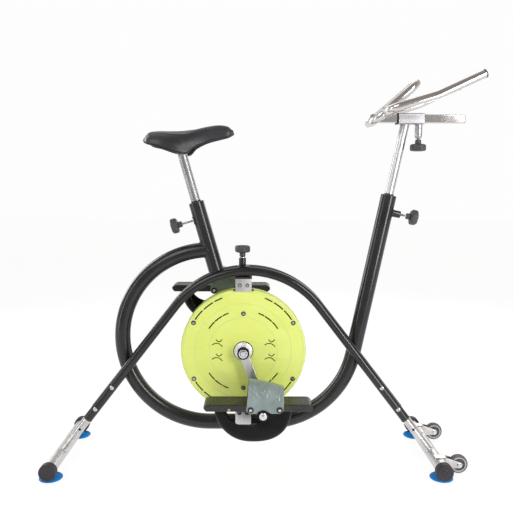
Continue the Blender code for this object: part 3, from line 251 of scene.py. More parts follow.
def sweep(bm, path, radius, sides=32, closed=False, ends=0.0015):
    """A round bar along a path. radius is a number or a function of the share of the way."""
    path = [Vector(point) for point in path]
    frames = frames_along(path, closed)
    rings = []
    for i, (point, (way, side, up)) in enumerate(zip(path, frames)):
        size = radius(i / (len(path) - 1)) if callable(radius) else radius
        rings.append([bm.verts.new(point + size * spoke) for spoke in circle(side, up, sides)])
    skin(bm, rings, closed)
    if not closed:
        for ring, point, outward in ((rings[0], path[0], -frames[0][0]), (rings[-1], path[-1], frames[-1][0])):
            inner = [bm.verts.new(point + outward * ends + (vert.co - point) * 0.93) for vert in ring]
            skin(bm, [ring, inner])
            bm.faces.new(inner)


def slab(bm, outlines, thickness, middle, edge=0.0005):
    """Flat outlines in the XZ plane, with holes, a thickness along Y and softened edges."""
    curve = bpy.data.curves.new("slab", "CURVE")
    curve.dimensions = "2D"
    curve.fill_mode = "BOTH"
    curve.extrude = thickness / 2 - edge
    curve.bevel_depth = edge
    curve.bevel_resolution = 2
    curve.offset = -edge
    for outline in outlines:
        spline = curve.splines.new("POLY")
        spline.points.add(len(outline) - 1)
        for place, (x, z) in zip(spline.points, outline):
            place.co = (x, z, 0.0, 1.0)
        spline.use_cyclic_u = True
    maker = bpy.data.objects.new("slab", curve)
    SPARES.objects.link(maker)
    bpy.context.view_layer.update()
    mesh = bpy.data.meshes.new_from_object(maker.evaluated_get(bpy.context.evaluated_depsgraph_get()))
    mesh.transform(Matrix.Translation(middle) @ Matrix.Rotation(math.pi / 2, 4, "X"))
    bm.from_mesh(mesh)
    bpy.data.objects.remove(maker, do_unlink=True)
    bpy.data.meshes.remove(mesh)


def soft_slab(bm, outline, thickness, middle, edge=0.0012, steps=3):
    """A convex outline in the XZ plane with a thickness along Y and rounded edges; gives back its points."""
    count = len(outline)
    corners = [Vector(point) for point in outline]
    area = sum(corners[i - 1].x * corners[i].y - corners[i].x * corners[i - 1].y for i in range(count))
    outward = []
    for i, corner in enumerate(corners):
        before = (corner - corners[i - 1]).normalized()
        after = (corners[(i + 1) % count] - corner).normalized()
        way = before + after
        way = Vector((way.y, -way.x)).normalized() * math.copysign(1.0, area)
        outward.append(way / max(0.5, math.cos(before.angle(after) / 2)))
    levels = [(edge + 0.0005, thickness / 2)]
    levels += [(edge * (1 - math.sin(turn)), thickness / 2 - edge + edge * math.cos(turn))
               for turn in [math.pi / 2 * k / steps for k in range(steps + 1)]]
    rings = []
    for inset, y in [(inset, -y) for inset, y in levels] + levels[::-1]:
        spots = [corner - way * inset for corner, way in zip(corners, outward)]
        rings.append([bm.verts.new(Vector(middle) + vec(spot.x, y, spot.y)) for spot in spots])
    skin(bm, rings)
    bm.faces.new(rings[0])
    bm.faces.new(rings[-1])
    return [vert for ring in rings for vert in ring]


def brick(bm, place, low, high):
    """A box between two corners, which are given in millimetres from a place."""
    low, high = (Vector(corner) / 1000 + Vector(place) for corner in (low, high))
    size = Vector(map(abs, high - low))
    verts = bmesh.ops.create_cube(bm, size=1.0)["verts"]
    for vert in verts:
        vert.co = Vector(a * b for a, b in zip(vert.co, size)) + (low + high) / 2
    return verts


def realize(name, bm, group):
    """An object in a collection from a finished bmesh."""
    bmesh.ops.remove_doubles(bm, verts=bm.verts, dist=0.000002)
    bmesh.ops.recalc_face_normals(bm, faces=bm.faces)
    mesh = bpy.data.meshes.new(name)
    bm.to_mesh(mesh)
    bm.free()
    obj = bpy.data.objects.new(name, mesh)
    group.objects.link(obj)
    return obj


def evaluated_mesh(obj, **options):
    """The object's mesh after its modifiers."""
    bpy.context.view_layer.update()
    graph = bpy.context.evaluated_depsgraph_get()
    return bpy.data.meshes.new_from_object(obj.evaluated_get(graph), depsgraph=graph, **options)


def shade(mesh, angle):
    mesh.shade_smooth()
    mesh.set_sharp_from_angle(angle=math.radians(angle))


def soften(obj, width):
    bevel = obj.modifiers.new("soft_edges", "BEVEL")
    bevel.width = width
    bevel.segments = 2
    bevel.limit_method = "ANGLE"
    bevel.angle_limit = math.radians(40)


def subdivide(obj):
    smooth = obj.modifiers.new("smooth", "SUBSURF")
    smooth.levels = smooth.render_levels = 1


def settle(obj, finish, body="frame", slot=None, node=None):
    """Puts a piece on its body; it may stand for a CAD node, which it then hides."""
    slot or SLOTS[finish.name]
    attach(obj, body)
    if node:
        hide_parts(node)
    return obj


def piece(name, finish, bm, node=None, body="frame", angle=38, slot=None, edge=0.0, smooth=False):
    """A finished mesh object that rides on a body and may stand for a CAD node."""
    obj = realize(name, bm, PIECES)
    shade(obj.data, angle)
    obj.data.materials.append(finish)
    if edge:
        soften(obj, edge)
    if smooth:
        subdivide(obj)
    return settle(obj, finish, body, slot, node)


def lathe(name, finish, profile, place, way, node=None, sides=48, closed=False, body="frame", angle=38):
    """A turned piece."""
    bm = bmesh.new()
    turn(bm, profile, place, way, sides, closed)
    return piece(name, finish, bm, node, body, angle)


def rod(name, finish, path, radius, sides, node=None, body="frame", ends=0.0):
    """A piece that is one bar along a path."""
    bm = bmesh.new()
    sweep(bm, path, radius, sides, ends=ends)
    return piece(name, finish, bm, node, body)


# Shader node groups

def make(tree, kind, inputs, **fields):
    """A node with its fields set. Each input takes a value, or the output of another node."""
    node = tree.nodes.new(kind)
    for label, value in fields.items():
        setattr(node, label, value)
    for label, value in inputs.items():
        if isinstance(value, bpy.types.NodeSocket):
            tree.links.new(value, node.inputs[label])
        else:
            node.inputs[label].default_value = value
    return node


def node_group(kind, name, inputs, outputs):
    """An empty node group with named sockets; gives back its tree and its two ends."""
    tree = bpy.data.node_groups.new(name, kind)
    for way, sockets in (("INPUT", inputs), ("OUTPUT", outputs)):
        for label, sort, *value in sockets:
            socket = tree.interface.new_socket(name=label, in_out=way, socket_type="NodeSocket" + sort)
            if value:
                socket.default_value = value[0]
    return tree, tree.nodes.new("NodeGroupInput").outputs, tree.nodes.new("NodeGroupOutput").inputs


def object_place(tree):
    return tree.nodes.new("ShaderNodeTexCoord").outputs["Object"]


def math_node(tree, operation, first, second, clamp=False):
    return make(tree, "ShaderNodeMath", {0: first, 1: second}, operation=operation, use_clamp=clamp).outputs[0]


def spread(tree, value, low, high):
    """Stretches a band of a value to run from 0 to 1."""
    return make(tree, "ShaderNodeMapRange", {"From Min": low, "From Max": high, "Value": value},
                interpolation_type="SMOOTHSTEP").outputs["Result"]


def noise_node(tree, vector, scale, detail, roughness=0.55):
    return make(tree, "ShaderNodeTexNoise", {"Detail": detail, "Roughness": roughness, "Scale": scale,
                                             "Vector": vector}).outputs["Fac"]


def mix_colours(tree, share, first, second, **fields):
    """Two colours, or sockets of them, mixed by a mask."""
    first, second = ((*value, 1.0) if isinstance(value, tuple) else value for value in (first, second))
    return make(tree, "ShaderNodeMix", {"Factor": share, 6: first, 7: second}, data_type="RGBA", **fields).outputs[2]


def make_grain_group():
    """Fine moulded or sprayed grain, as a height."""
    tree, start, end = node_group("ShaderNodeTree", "surface_grain", [("Grains per Metre", "Float", 900.0)],
                                  [("Height", "Float")])
    tree.links.new(noise_node(tree, object_place(tree), start[0], 3.0, 0.6), end[0])
    return tree


def make_mottle_group():
    """Slow uneven patches, such as dried water, dust and handling leave."""
    tree, start, end = node_group("ShaderNodeTree", "uneven_patches", [("Patch Scale", "Float", 14.0)],
                                  [("Patches", "Float"), ("Specks", "Float")])
    place = object_place(tree)
    tree.links.new(spread(tree, noise_node(tree, place, start[0], 5.0), 0.34, 0.68), end["Patches"])
    fine = noise_node(tree, place, math_node(tree, "MULTIPLY", start[0], 42.0), 2.0)
    tree.links.new(spread(tree, fine, 0.69, 0.75), end["Specks"])
    return tree


def make_brush_group():
    """Fine lines along one direction, as an abrasive belt leaves them."""
    tree, start, end = node_group("ShaderNodeTree", "brushed_lines",
                                  [("Line Stretch", "Vector", (12.0, 900.0, 900.0)),
                                   ("Line Turn", "Vector", (0.0, 0.0, 0.0))],
                                  [("Height", "Float"), ("Streaks", "Float")])
    turned = make(tree, "ShaderNodeMapping", {"Vector": object_place(tree), "Rotation": start["Line Turn"]})
    stretched = make(tree, "ShaderNodeVectorMath", {0: turned.outputs[0], 1: start["Line Stretch"]},
                     operation="MULTIPLY").outputs[0]
    tree.links.new(noise_node(tree, stretched, 1.0, 4.0, 0.65), end["Height"])
    wide = make(tree, "ShaderNodeVectorMath", {"Scale": 0.12, 0: stretched}, operation="SCALE").outputs[0]
    tree.links.new(spread(tree, noise_node(tree, wide, 1.0, 3.0), 0.33, 0.67), end["Streaks"])
    return tree


def make_wear_group():
    """Where edges stand out, broken up so that the wear isn't even."""
    tree, start, end = node_group("ShaderNodeTree", "edge_wear", [("Sharpness", "Float", 0.56)], [("Wear", "Float")])
    edges = tree.nodes.new("ShaderNodeNewGeometry").outputs["Pointiness"]
    broken = noise_node(tree, object_place(tree), 160.0, 4.0)
    strong = math_node(tree, "MULTIPLY", math_node(tree, "SUBTRACT", edges, start["Sharpness"]), 14.0)
    tree.links.new(math_node(tree, "MULTIPLY", strong, broken, True), end["Wear"])
    return tree


GRAIN = make_grain_group()
MOTTLE = make_mottle_group()
BRUSH = make_brush_group()
WEAR = make_wear_group()


# Finishes, each with the slot of the pieces that wear it

SLOTS = {}


def effect(tree, group, **inputs):
    """A node group in a finish; gives back its outputs."""
    inputs = {label.replace("_", " "): value for label, value in inputs.items()}
    return make(tree, "ShaderNodeGroup", inputs, node_tree=group).outputs


def finish(name, slot, colour, second, rough, rough_high, metallic=0.0, patch=14.0, grain=None, depth=0.00004,
           brush=None, brush_turn=(0.0, 0.0, 0.0), edge=None, specks=None, **sockets):
    """A Principled finish whose colour and roughness wander between two values, with grain or lines."""
    material = bpy.data.materials.new(name)
    material.use_nodes = True
    SLOTS[material.name] = slot
    tree = material.node_tree
    shader = tree.nodes["Principled BSDF"].inputs
    shader["Metallic"].default_value = metallic
    for label, value in sockets.items():
        shader[label.replace("_", " ")].default_value = value
    mottle = effect(tree, MOTTLE, Patch_Scale=patch)
    share = mottle["Patches"]
    height = None
    if brush:
        lines = effect(tree, BRUSH, Line_Stretch=brush, Line_Turn=brush_turn)
        share = math_node(tree, "ADD", math_node(tree, "MULTIPLY", share, 0.35),
                          math_node(tree, "MULTIPLY", lines["Streaks"], 0.65))
        height = lines["Height"]
    if grain:
        height = effect(tree, GRAIN, Grains_per_Metre=grain)["Height"]
    tone = mix_colours(tree, share, colour, second)
    if specks:
        tone = mix_colours(tree, mottle["Specks"], tone, specks)
    if edge:
        tone = mix_colours(tree, effect(tree, WEAR)["Wear"], tone, edge)
    tree.links.new(tone, shader["Base Color"])
    ranged = make(tree, "ShaderNodeMapRange", {"To Min": rough, "To Max": rough_high, "Value": share})
    tree.links.new(ranged.outputs["Result"], shader["Roughness"])
    if height is not None:
        bump = make(tree, "ShaderNodeBump", {"Strength": 1.0, "Distance": depth, "Height": height})
        tree.links.new(bump.outputs["Normal"], shader["Normal"])
    material.diffuse_color = (*colour, 1.0)
    return material


POWDER_COAT = finish("black_powder_coat", "black_coat", (0.009, 0.009, 0.0095), (0.015, 0.015, 0.016), 0.17, 0.24,
                     grain=1500.0, depth=0.00003, specks=(0.035, 0.035, 0.037), edge=(0.045, 0.045, 0.047))
ACROSS_STEEL = finish("brushed_tube_steel", "stainless_steel", (0.50, 0.485, 0.485), (0.66, 0.65, 0.645), 0.26, 0.40,
                      1.0, brush=(900.0, 12.0, 900.0), depth=0.00003)
PLATE_STEEL = finish("satin_plate_steel", "stainless_steel", (0.58, 0.565, 0.575), (0.70, 0.685, 0.69), 0.30, 0.44,
                     1.0, brush=(700.0, 700.0, 20.0), depth=0.00003)
# A darker copy of the plate steel: painted shade that dims the slider sleeve's reflection.
SHADED_SLEEVE_STEEL = finish("sleeve_steel_painted_shade", "stainless_steel", (0.37, 0.365, 0.375), (0.47, 0.465, 0.475), 0.30, 0.44,
                      1.0, brush=(20.0, 700.0, 700.0), depth=0.00003)
# A darker copy of the post steel: painted shade that makes the seat post read duller than the bar post.
SHADED_SEAT_POST_STEEL = finish("post_steel_painted_shade", "stainless_steel", (0.29, 0.285, 0.29), (0.46, 0.455, 0.46), 0.32,
                         0.48, 1.0, brush=(800.0, 800.0, 10.0), brush_turn=(0.0, 0.2801, 0.0), depth=0.00003)
BAR_POST_STEEL = finish("brushed_bar_post_steel", "stainless_steel", (0.44, 0.435, 0.44), (0.66, 0.655, 0.66), 0.27,
                        0.42, 1.0, brush=(800.0, 800.0, 10.0), brush_turn=(0.0, -0.1974, 0.0), depth=0.00003)
LEG_STEEL = finish("extension_steel", "stainless_steel", (0.55, 0.53, 0.52), (0.70, 0.69, 0.68), 0.24, 0.36, 1.0,
                   patch=22.0, grain=2400.0, depth=0.00001)
POLISHED = finish("polished_steel", "polished_steel", (0.62, 0.59, 0.57), (0.68, 0.66, 0.645), 0.07, 0.15, 1.0,
                  patch=9.0, grain=3000.0, depth=0.000006)
BRIGHT = finish("bright_fastener", "bright_steel", (0.66, 0.66, 0.67), (0.76, 0.76, 0.77), 0.12, 0.22, 1.0,
                patch=120.0, grain=3500.0, depth=0.000008)
BRASS = finish("brass_screw", "bright_steel", (0.62, 0.40, 0.22), (0.74, 0.50, 0.28), 0.2, 0.35, 1.0, patch=160.0)
DARK_STEEL = finish("dark_steel", "bright_steel", (0.10, 0.10, 0.105), (0.17, 0.17, 0.175), 0.25, 0.4, 1.0, patch=60.0)
COVER_GREEN = finish("cover_green", "cover_green", (0.66, 0.745, 0.155), (0.70, 0.785, 0.195), 0.36, 0.48, patch=7.0,
                     grain=1300.0, depth=0.000025, edge=(0.78, 0.85, 0.36))
RIM_GREEN = finish("cover_edge", "cover_green", (0.57, 0.66, 0.20), (0.63, 0.71, 0.27), 0.40, 0.5, patch=11.0,
                   grain=1300.0, depth=0.00002)
# A dark green used only as painted shade, for the shadowed gaps at the hanger's lower corners.
PAINTED_SHADE_GREEN = finish("shadow_gap_green", "cover_green", (0.035, 0.06, 0.006), (0.055, 0.09, 0.010), 0.6, 0.8, patch=50.0,
                     grain=900.0)
HUB_WHITE = finish("hub_flange", "cover_green", (0.72, 0.72, 0.73), (0.80, 0.80, 0.81), 0.3, 0.42, 0.35, patch=60.0,
                   grain=1800.0, depth=0.00001)
CHARCOAL = finish("charcoal_plastic", "charcoal_plastic", (0.040, 0.040, 0.044), (0.058, 0.058, 0.062), 0.40, 0.55,
                  grain=1900.0, depth=0.00006, specks=(0.09, 0.09, 0.095), edge=(0.13, 0.13, 0.135))
DECK_PLASTIC = finish("pedal_plastic", "black_plastic", (0.022, 0.022, 0.021), (0.034, 0.034, 0.032), 0.24, 0.38,
                      grain=1500.0, patch=26.0, specks=(0.06, 0.06, 0.06), edge=(0.10, 0.10, 0.105),
                      Specular_IOR_Level=0.38)
BLACK_PLASTIC = finish("black_plastic", "black_plastic", (0.007, 0.007, 0.0075), (0.011, 0.011, 0.012), 0.32, 0.46,
                       grain=1500.0, depth=0.00005, patch=24.0, specks=(0.020, 0.020, 0.022),
                       edge=(0.03, 0.03, 0.033), Specular_IOR_Level=0.09)
CAP_RUBBER = finish("cap_rubber", "cap_rubber", (0.030, 0.027, 0.031), (0.043, 0.039, 0.044), 0.50, 0.66,
                    grain=1700.0, depth=0.00006, patch=30.0, specks=(0.07, 0.07, 0.07), Specular_IOR_Level=0.30)
FOOT_RUBBER = finish("blue_foot_rubber", "foot_rubber", (0.010, 0.205, 0.59), (0.018, 0.245, 0.65), 0.34, 0.5,
                     grain=900.0, patch=30.0, edge=(0.04, 0.31, 0.72), Specular_IOR_Level=0.08)
TYRE = finish("tyre_rubber", "wheel_tyre", (0.085, 0.080, 0.084), (0.12, 0.115, 0.118), 0.5, 0.68, grain=1700.0,
              depth=0.00006, patch=40.0, specks=(0.17, 0.17, 0.17))
TYRE_RING = finish("wheel_ring", "wheel_tyre", (0.36, 0.35, 0.36), (0.44, 0.43, 0.44), 0.38, 0.5, patch=60.0,
                   grain=1500.0)
STRAP = finish("strap_rubber", "strap_rubber", (0.185, 0.240, 0.230), (0.245, 0.300, 0.290), 0.24, 0.38, grain=420.0,
               depth=0.00007, patch=20.0, Coat_Weight=0.30, Coat_Roughness=0.16)
VINYL = finish("saddle_vinyl", "saddle_vinyl", (0.020, 0.020, 0.023), (0.029, 0.028, 0.033), 0.32, 0.44, grain=1150.0,
               depth=0.00011, patch=18.0, edge=(0.06, 0.06, 0.066))
PIPING = finish("saddle_piping", "saddle_vinyl", (0.010, 0.010, 0.011), (0.016, 0.016, 0.017), 0.4, 0.5, patch=60.0,
                grain=1500.0)
THREAD = finish("saddle_thread", "saddle_vinyl", (0.045, 0.045, 0.05), (0.07, 0.07, 0.075), 0.6, 0.7, patch=300.0)
# Near black: painted shade behind the disc's slots and in the legs' adjusting holes, and the strap washers' own colour.
DEEP_BLACK = finish("deep_black", "black_plastic", (0.004, 0.004, 0.004), (0.007, 0.007, 0.007), 0.5, 0.7, patch=60.0,
                    grain=1500.0)


# Geometry Nodes for what repeats

def grower(name, inputs):
    """An empty Geometry Nodes tree with named inputs; gives back the tree and its two ends."""
    return node_group("GeometryNodeTree", name, [("Geometry", "Geometry"), *inputs, ("Finish", "Material")],
                      [("Geometry", "Geometry")])


def place_all(tree, start, end, inputs):
    """Puts a copy at each point, realizes the copies and gives them their finish."""
    placed = make(tree, "GeometryNodeInstanceOnPoints", inputs)
    real = make(tree, "GeometryNodeRealizeInstances", {0: placed.outputs[0]})
    done = make(tree, "GeometryNodeSetMaterial", {"Geometry": real.outputs[0], "Material": start["Finish"]})
    tree.links.new(done.outputs[0], end[0])
    return tree


def make_fittings_tree():
    """A fitting at each point, aimed along the point's own direction and turned at random."""
    tree, start, end = grower("fittings_at_points", [("Fitting", "Object"), ("Size", "Float"), ("Turn Seed", "Int")])
    aim = make(tree, "GeometryNodeInputNamedAttribute", {"Name": "aim"}, data_type="FLOAT_VECTOR")
    align = make(tree, "FunctionNodeAlignRotationToVector", {"Vector": aim.outputs["Attribute"]}, axis="Z")
    chance = make(tree, "FunctionNodeRandomValue",
                  {0: (0.0, 0.0, 0.0), 1: (0.0, 0.0, 2 * math.pi), "Seed": start["Turn Seed"]},
                  data_type="FLOAT_VECTOR")
    spin = make(tree, "FunctionNodeRotateRotation", {0: align.outputs[0], 1: chance.outputs[0]},
                rotation_space="LOCAL")
    fitting = make(tree, "GeometryNodeObjectInfo", {"Object": start["Fitting"]})
    return place_all(tree, start, end, {"Points": start["Geometry"], "Instance": fitting.outputs["Geometry"],
                                        "Rotation": spin.outputs[0], "Scale": start["Size"]})


def make_beads_tree():
    """Small rounded beads along a line: stitches when they are long, weld ripples when they overlap."""
    tree, start, end = grower("beads_along_line", [("Spacing", "Float"), ("Bead Size", "Vector"),
                                                   ("Bead Sides", "Int")])
    curve = make(tree, "GeometryNodeMeshToCurve", {"Mesh": start["Geometry"]})
    even = make(tree, "GeometryNodeResampleCurve", {"Curve": curve.outputs[0], "Length": start["Spacing"]},
                mode="LENGTH")
    bead = make(tree, "GeometryNodeMeshUVSphere", {"Radius": 1.0, "Rings": 5, "Segments": start["Bead Sides"]})
    tangent = tree.nodes.new("GeometryNodeInputTangent").outputs[0]
    align = make(tree, "FunctionNodeAlignRotationToVector", {"Vector": tangent}, axis="X")
    return place_all(tree, start, end, {"Points": even.outputs[0], "Instance": bead.outputs["Mesh"],
                                        "Rotation": align.outputs[0], "Scale": start["Bead Size"]})


def make_ribs_tree():
    """A row of flat ribs, each of the same size, at an even pitch from a starting place."""
    tree, start, end = grower("row_of_ribs", [("Count", "Int"), ("First Place", "Vector"), ("Pitch", "Vector"),
                                              ("Rib Size", "Vector")])
    line = make(tree, "GeometryNodeMeshLine", {"Count": start["Count"], "Start Location": start["First Place"],
                                               "Offset": start["Pitch"]})
    rib = make(tree, "GeometryNodeMeshCube", {"Size": start["Rib Size"]})
    return place_all(tree, start, end, {"Points": line.outputs[0], "Instance": rib.outputs["Mesh"]})


FITTINGS = make_fittings_tree()
BEADS = make_beads_tree()
RIBS = make_ribs_tree()


def grow(name, tree, mesh, finish, values, body="frame", slot=None):
    """Runs a tree on a small mesh and keeps the result as a plain piece on a body."""
    maker = bpy.data.objects.new(name, mesh)
    PIECES.objects.link(maker)
    step = maker.modifiers.new("grow", "NODES")
    step.node_group = tree
    sockets = {item.name: item.identifier for item in tree.interface.items_tree if item.in_out == "INPUT"}
    for label, value in {**values, "Finish": finish}.items():
        step[sockets[label]] = value
    grown = evaluated_mesh(maker, preserve_all_data_layers=False)
    maker.modifiers.clear()
    maker.data = grown
    bpy.data.meshes.remove(mesh)
    shade(grown, 38)
    return settle(maker, finish, body, slot)


def point_mesh(places):
    """A mesh of loose points from (point, direction) pairs."""
    mesh = bpy.data.meshes.new("places")
    mesh.from_pydata([tuple(point) for point, way in places], [], [])
    aim = mesh.attributes.new("aim", "FLOAT_VECTOR", "POINT")
    for spot, (point, way) in zip(aim.data, places):
        spot.vector = Vector(way).normalized()
    return mesh


def line_mesh(lines):
    """A mesh of open or closed polylines; a closed one repeats its first point at the end."""
    points, edges = [], []
    for line in lines:
        closed = (Vector(line[0]) - Vector(line[-1])).length < 1e-6
        first = len(points)
        points += [tuple(point) for point in (line[:-1] if closed else line)]
        last = len(points) - 1
        edges += [(i, i + 1) for i in range(first, last)]
        if closed:
            edges.append((last, first))
    mesh = bpy.data.meshes.new("line")
    mesh.from_pydata(points, edges, [])
    return mesh


def fitting(name, *turnings):
    """A spare for the trees, turned about its own axis from (profile, sides, closed) parts."""
    bm = bmesh.new()
    for profile, sides, closed in turnings:
        turn(bm, mm(profile), (0, 0, 0), UP, sides, closed)
    return realize(name, bm, SPARES)


def socket_head(name, radius, height, socket, sides=24):
    """A low round head with a six-sided socket."""
    head = [(0, -0.2), (radius, -0.2), (radius, height * 0.45), (radius * 0.86, height * 0.86),
            (radius * 0.62, height), (socket, height)]
    hollow = [(socket, height), (socket * 0.96, height * 0.35), (0, height * 0.35)]
    return fitting(name, (head, sides, False), (hollow, 6, False))


def washer_ring(name, inner, outer, height):
    return fitting(name, ([(inner, -0.2), (outer, -0.2), (outer, height * 0.7), (outer - height * 0.3, height),
                           (inner, height)], 28, True))


SMALL_HEAD = socket_head("small_screw_head", 3.6, 2.0, 1.7)
BUTTON_HEAD = socket_head("button_screw_head", 5.2, 3.0, 2.4, 32)
STRAP_HEAD = socket_head("strap_screw_head", 5.0, 2.6, 2.1)
DARK_WASHER = washer_ring("dark_washer", 3.4, 6.2, 0.9)
STRAP_WASHER = washer_ring("strap_washer", 4.8, 9.0, 1.6)
HEX_NUT = fitting("hex_nut", ([(0, -0.2), (6.2, -0.2), (6.2, 3.69), (5.58, 4.5), (0, 4.5)], 6, False))


def fasten(name, head, places, finish, size, seed, body="frame", slot=None):
    values = {"Fitting": head, "Size": size, "Turn Seed": seed}
    return grow(name, FITTINGS, point_mesh(places), finish, values, body, slot)


def pairs_across(centre, xs, y, z):
    """Fastener places on both sides of the middle plane, facing outwards."""
    return [(centre + vec(x, side * y, z), (0, side, 0)) for side in WAYS for x in xs]


def weld(name, lines, finish, width=0.0021, body="frame"):
    values = {"Spacing": width * 0.75, "Bead Size": (width * 0.85, width, width * 0.8), "Bead Sides": 8}
    return grow(name, BEADS, line_mesh(lines), finish, values, body)


def weld_line(branch, branch_way, branch_r, main, main_way, main_r, steps=72):
    """Where a round branch leaves a round tube: the points of the seam round the branch."""
    branch_way = Vector(branch_way).normalized()
    main_way = Vector(main_way).normalized()
    side = branch_way.orthogonal().normalized()
    up = branch_way.cross(side)
    runs = [[]]
    for i in range(steps + 1):
        angle = 2 * math.pi * i / steps
        start = Vector(branch) + branch_r * (math.cos(angle) * side + math.sin(angle) * up)
        offset = start - Vector(main)
        a = offset - main_way * offset.dot(main_way)
        b = branch_way - main_way * branch_way.dot(main_way)
        half = a.dot(b)
        root = half * half - b.dot(b) * (a.dot(a) - main_r * main_r)
        if root < 0:
            runs.append([])
        else:
            runs[-1].append(start + branch_way * ((-half + math.sqrt(root)) / b.dot(b)))
    return [run for run in runs if len(run) > 3]


def cut_away(obj, cutter):
    """Cuts one object out of another and keeps the result as its mesh."""
    step = obj.modifiers.new("cut", "BOOLEAN")
    step.operation = "DIFFERENCE"
    step.solver = "EXACT"
    step.object = cutter
    mesh = evaluated_mesh(obj, preserve_all_data_layers=True)
    obj.modifiers.clear()
    obj.data = mesh
    shade(mesh, 45)


def bore(obj, top, way, radius, depth):
    """Bores a tube from its mouth."""
    bm = bmesh.new()
    turn(bm, mm([(0, -depth), (radius, -depth), (radius, 6), (0, 6)]), top, way, 56)
    cut_away(obj, realize("bore", bm, SPARES))


# Frame tubes

def arch_line(side, steps=44):
    rear, front = (math.degrees(leg_angle(x)) for x in (REAR_BASE_X, FRONT_BASE_X))
    points = [leg_point(REAR_BASE_X, LEG_END, side)]
    points += [arch_point(ARCH_X + x, ARCH_Z + z, side) for x, z in arc(ARCH_R, 90.0 + rear, 90.0 - front, steps)]
    points.append(leg_point(FRONT_BASE_X, LEG_END, side))
    return points


def nearest_main(point):
    """The nearest point of the main tube's axis."""
    if point.x < AXLE_X:
        centre = at(LOOP_REAR_X, 0.0, LOOP_Z)
        flat = vec(point.x - centre.x, 0.0, point.z - LOOP_Z)
        return centre + flat.normalized() * LOOP_R
    start = column_point(0.45)
    return start + COLUMN_WAY * (vec(point.x, 0.0, point.z) - start).dot(COLUMN_WAY)


def contact_seams(side, sign):
    """Two short seams, above and below, where an arch's leg lies along the main tube."""
    touch = [point for point in arch_line(side, 160) if abs(point.y) > 0.0385 and (point.x - AXLE_X) * sign > 0
             and abs((point - nearest_main(point)).length - 0.039) < 0.0045]
    if len(touch) < 3:
        return []
    seams = []
    for way in WAYS:
        line = []
        for first, second in zip(touch, touch[1:]):
            across = (second - first).normalized().cross(vec(0, side, 0)).normalized() * way
            line.append(vec(first.x, side * (MAIN_R + 0.001), first.z) + across * 0.0065)
        seams.append(line)
    return seams


def boss(bm, axis_point, way, end):
    """A clamping screw's boss, from halfway into a main tube to a height in millimetres."""
    start, radius = MAIN_R / 2 * 1000, BOSS_R * 1000
    turn(bm, mm([(0, start), (radius, start), (radius, end, 1.2), (5.8, end), (0, end)]), axis_point, way, 36)


def build_tubes():
    points = [at(LOOP_REAR_X + x, 0.0, LOOP_Z + z) for x, z in arc(LOOP_R, 90.0, 270.0, 72)]
    last = 360.0 - math.degrees(COLUMN_LEAN)
    points += [at(LOOP_FRONT_X + x, 0.0, LOOP_Z + z) for x, z in arc(LOOP_R, 270.0, last, 32)]
    bm = bmesh.new()
    sweep(bm, points + [COLUMN_TOP], MAIN_R, 56, ends=0.0)
    boss(bm, column_point(COLUMN_KNOB_Z), COLUMN_KNOB_WAY, 48)
    loop = piece("loop_and_column", POWDER_COAT, bm, "main_tube")
    bore(loop, COLUMN_TOP, COLUMN_WAY, 14.6, 262)
    bore(loop, SEAT_TOP, SEAT_WAY, 15.7, 235)

    bm = bmesh.new()
    sweep(bm, [seat_point(ARCH_CROWN_Z - ARCH_PIPE_R), seat_point(0.70), SEAT_TOP], MAIN_R, 56, ends=0.0)
    boss(bm, seat_point(SEAT_KNOB_Z), SEAT_KNOB_WAY, 46)
    stem = piece("seat_stem_tube", POWDER_COAT, bm, "seat_tube")
    bore(stem, SEAT_TOP, SEAT_WAY, 15.7, 235)

    seams = weld_line(seat_point(LOOP_Z + LOOP_R), (-1, 0, 0), MAIN_R * 0.995, seat_point(0.67), SEAT_WAY, MAIN_R)
    for spot, knob_way, way in ((seat_point(SEAT_KNOB_Z), SEAT_KNOB_WAY, SEAT_WAY),
                                (column_point(COLUMN_KNOB_Z), COLUMN_KNOB_WAY, COLUMN_WAY)):
        seams += weld_line(spot, knob_way, BOSS_R, spot, way, MAIN_R)
    for label, side in SIDES:
        rod(f"{label}_arch_tube", POWDER_COAT, arch_line(side), ARCH_PIPE_R, 40, f"{label}_arch", ends=0.0006)
        near, ahead, crown = (arch_point(ARCH_X + x, ARCH_Z + z, side)
                              for x, z in ((-0.097, 0.268), (-0.087, 0.2714), (-0.0162, 0.28454)))
        seams += weld_line(seat_point(0.592), SEAT_WAY, MAIN_R, near, ahead - near, ARCH_PIPE_R)
        seams += weld_line(at(ADJUSTER_X, 0, 0.606), UP, BOSS_R, crown, (1, 0, 0.05), ARCH_PIPE_R)
        for sign in WAYS:
            seams += contact_seams(side, sign)
    weld("frame_welds", seams, POWDER_COAT)

    # The thin collars of the bushes show at the mouths of the two tubes
    for name, radius, top, way in (("seat", 15.05, SEAT_TOP, SEAT_WAY), ("column", 13.9, COLUMN_TOP, COLUMN_WAY)):
        profile = mm([(radius, 1.8), (22.55, 1.8, 0.6), (23.25, 0.2, 0.2), (21.15, -4), (radius, -4)])
        lathe(f"{name}_collar", CHARCOAL, profile, top, way, f"{name}_bush", 56, True)


# Base: extensions, base tubes, caps, feet and wheels

LEG_COLLAR = mm([(12.8, 1.6), (14.65, 1.6, 0.7), (14.65, -2.8, 0.9), (12.8, -2.8)], 3)
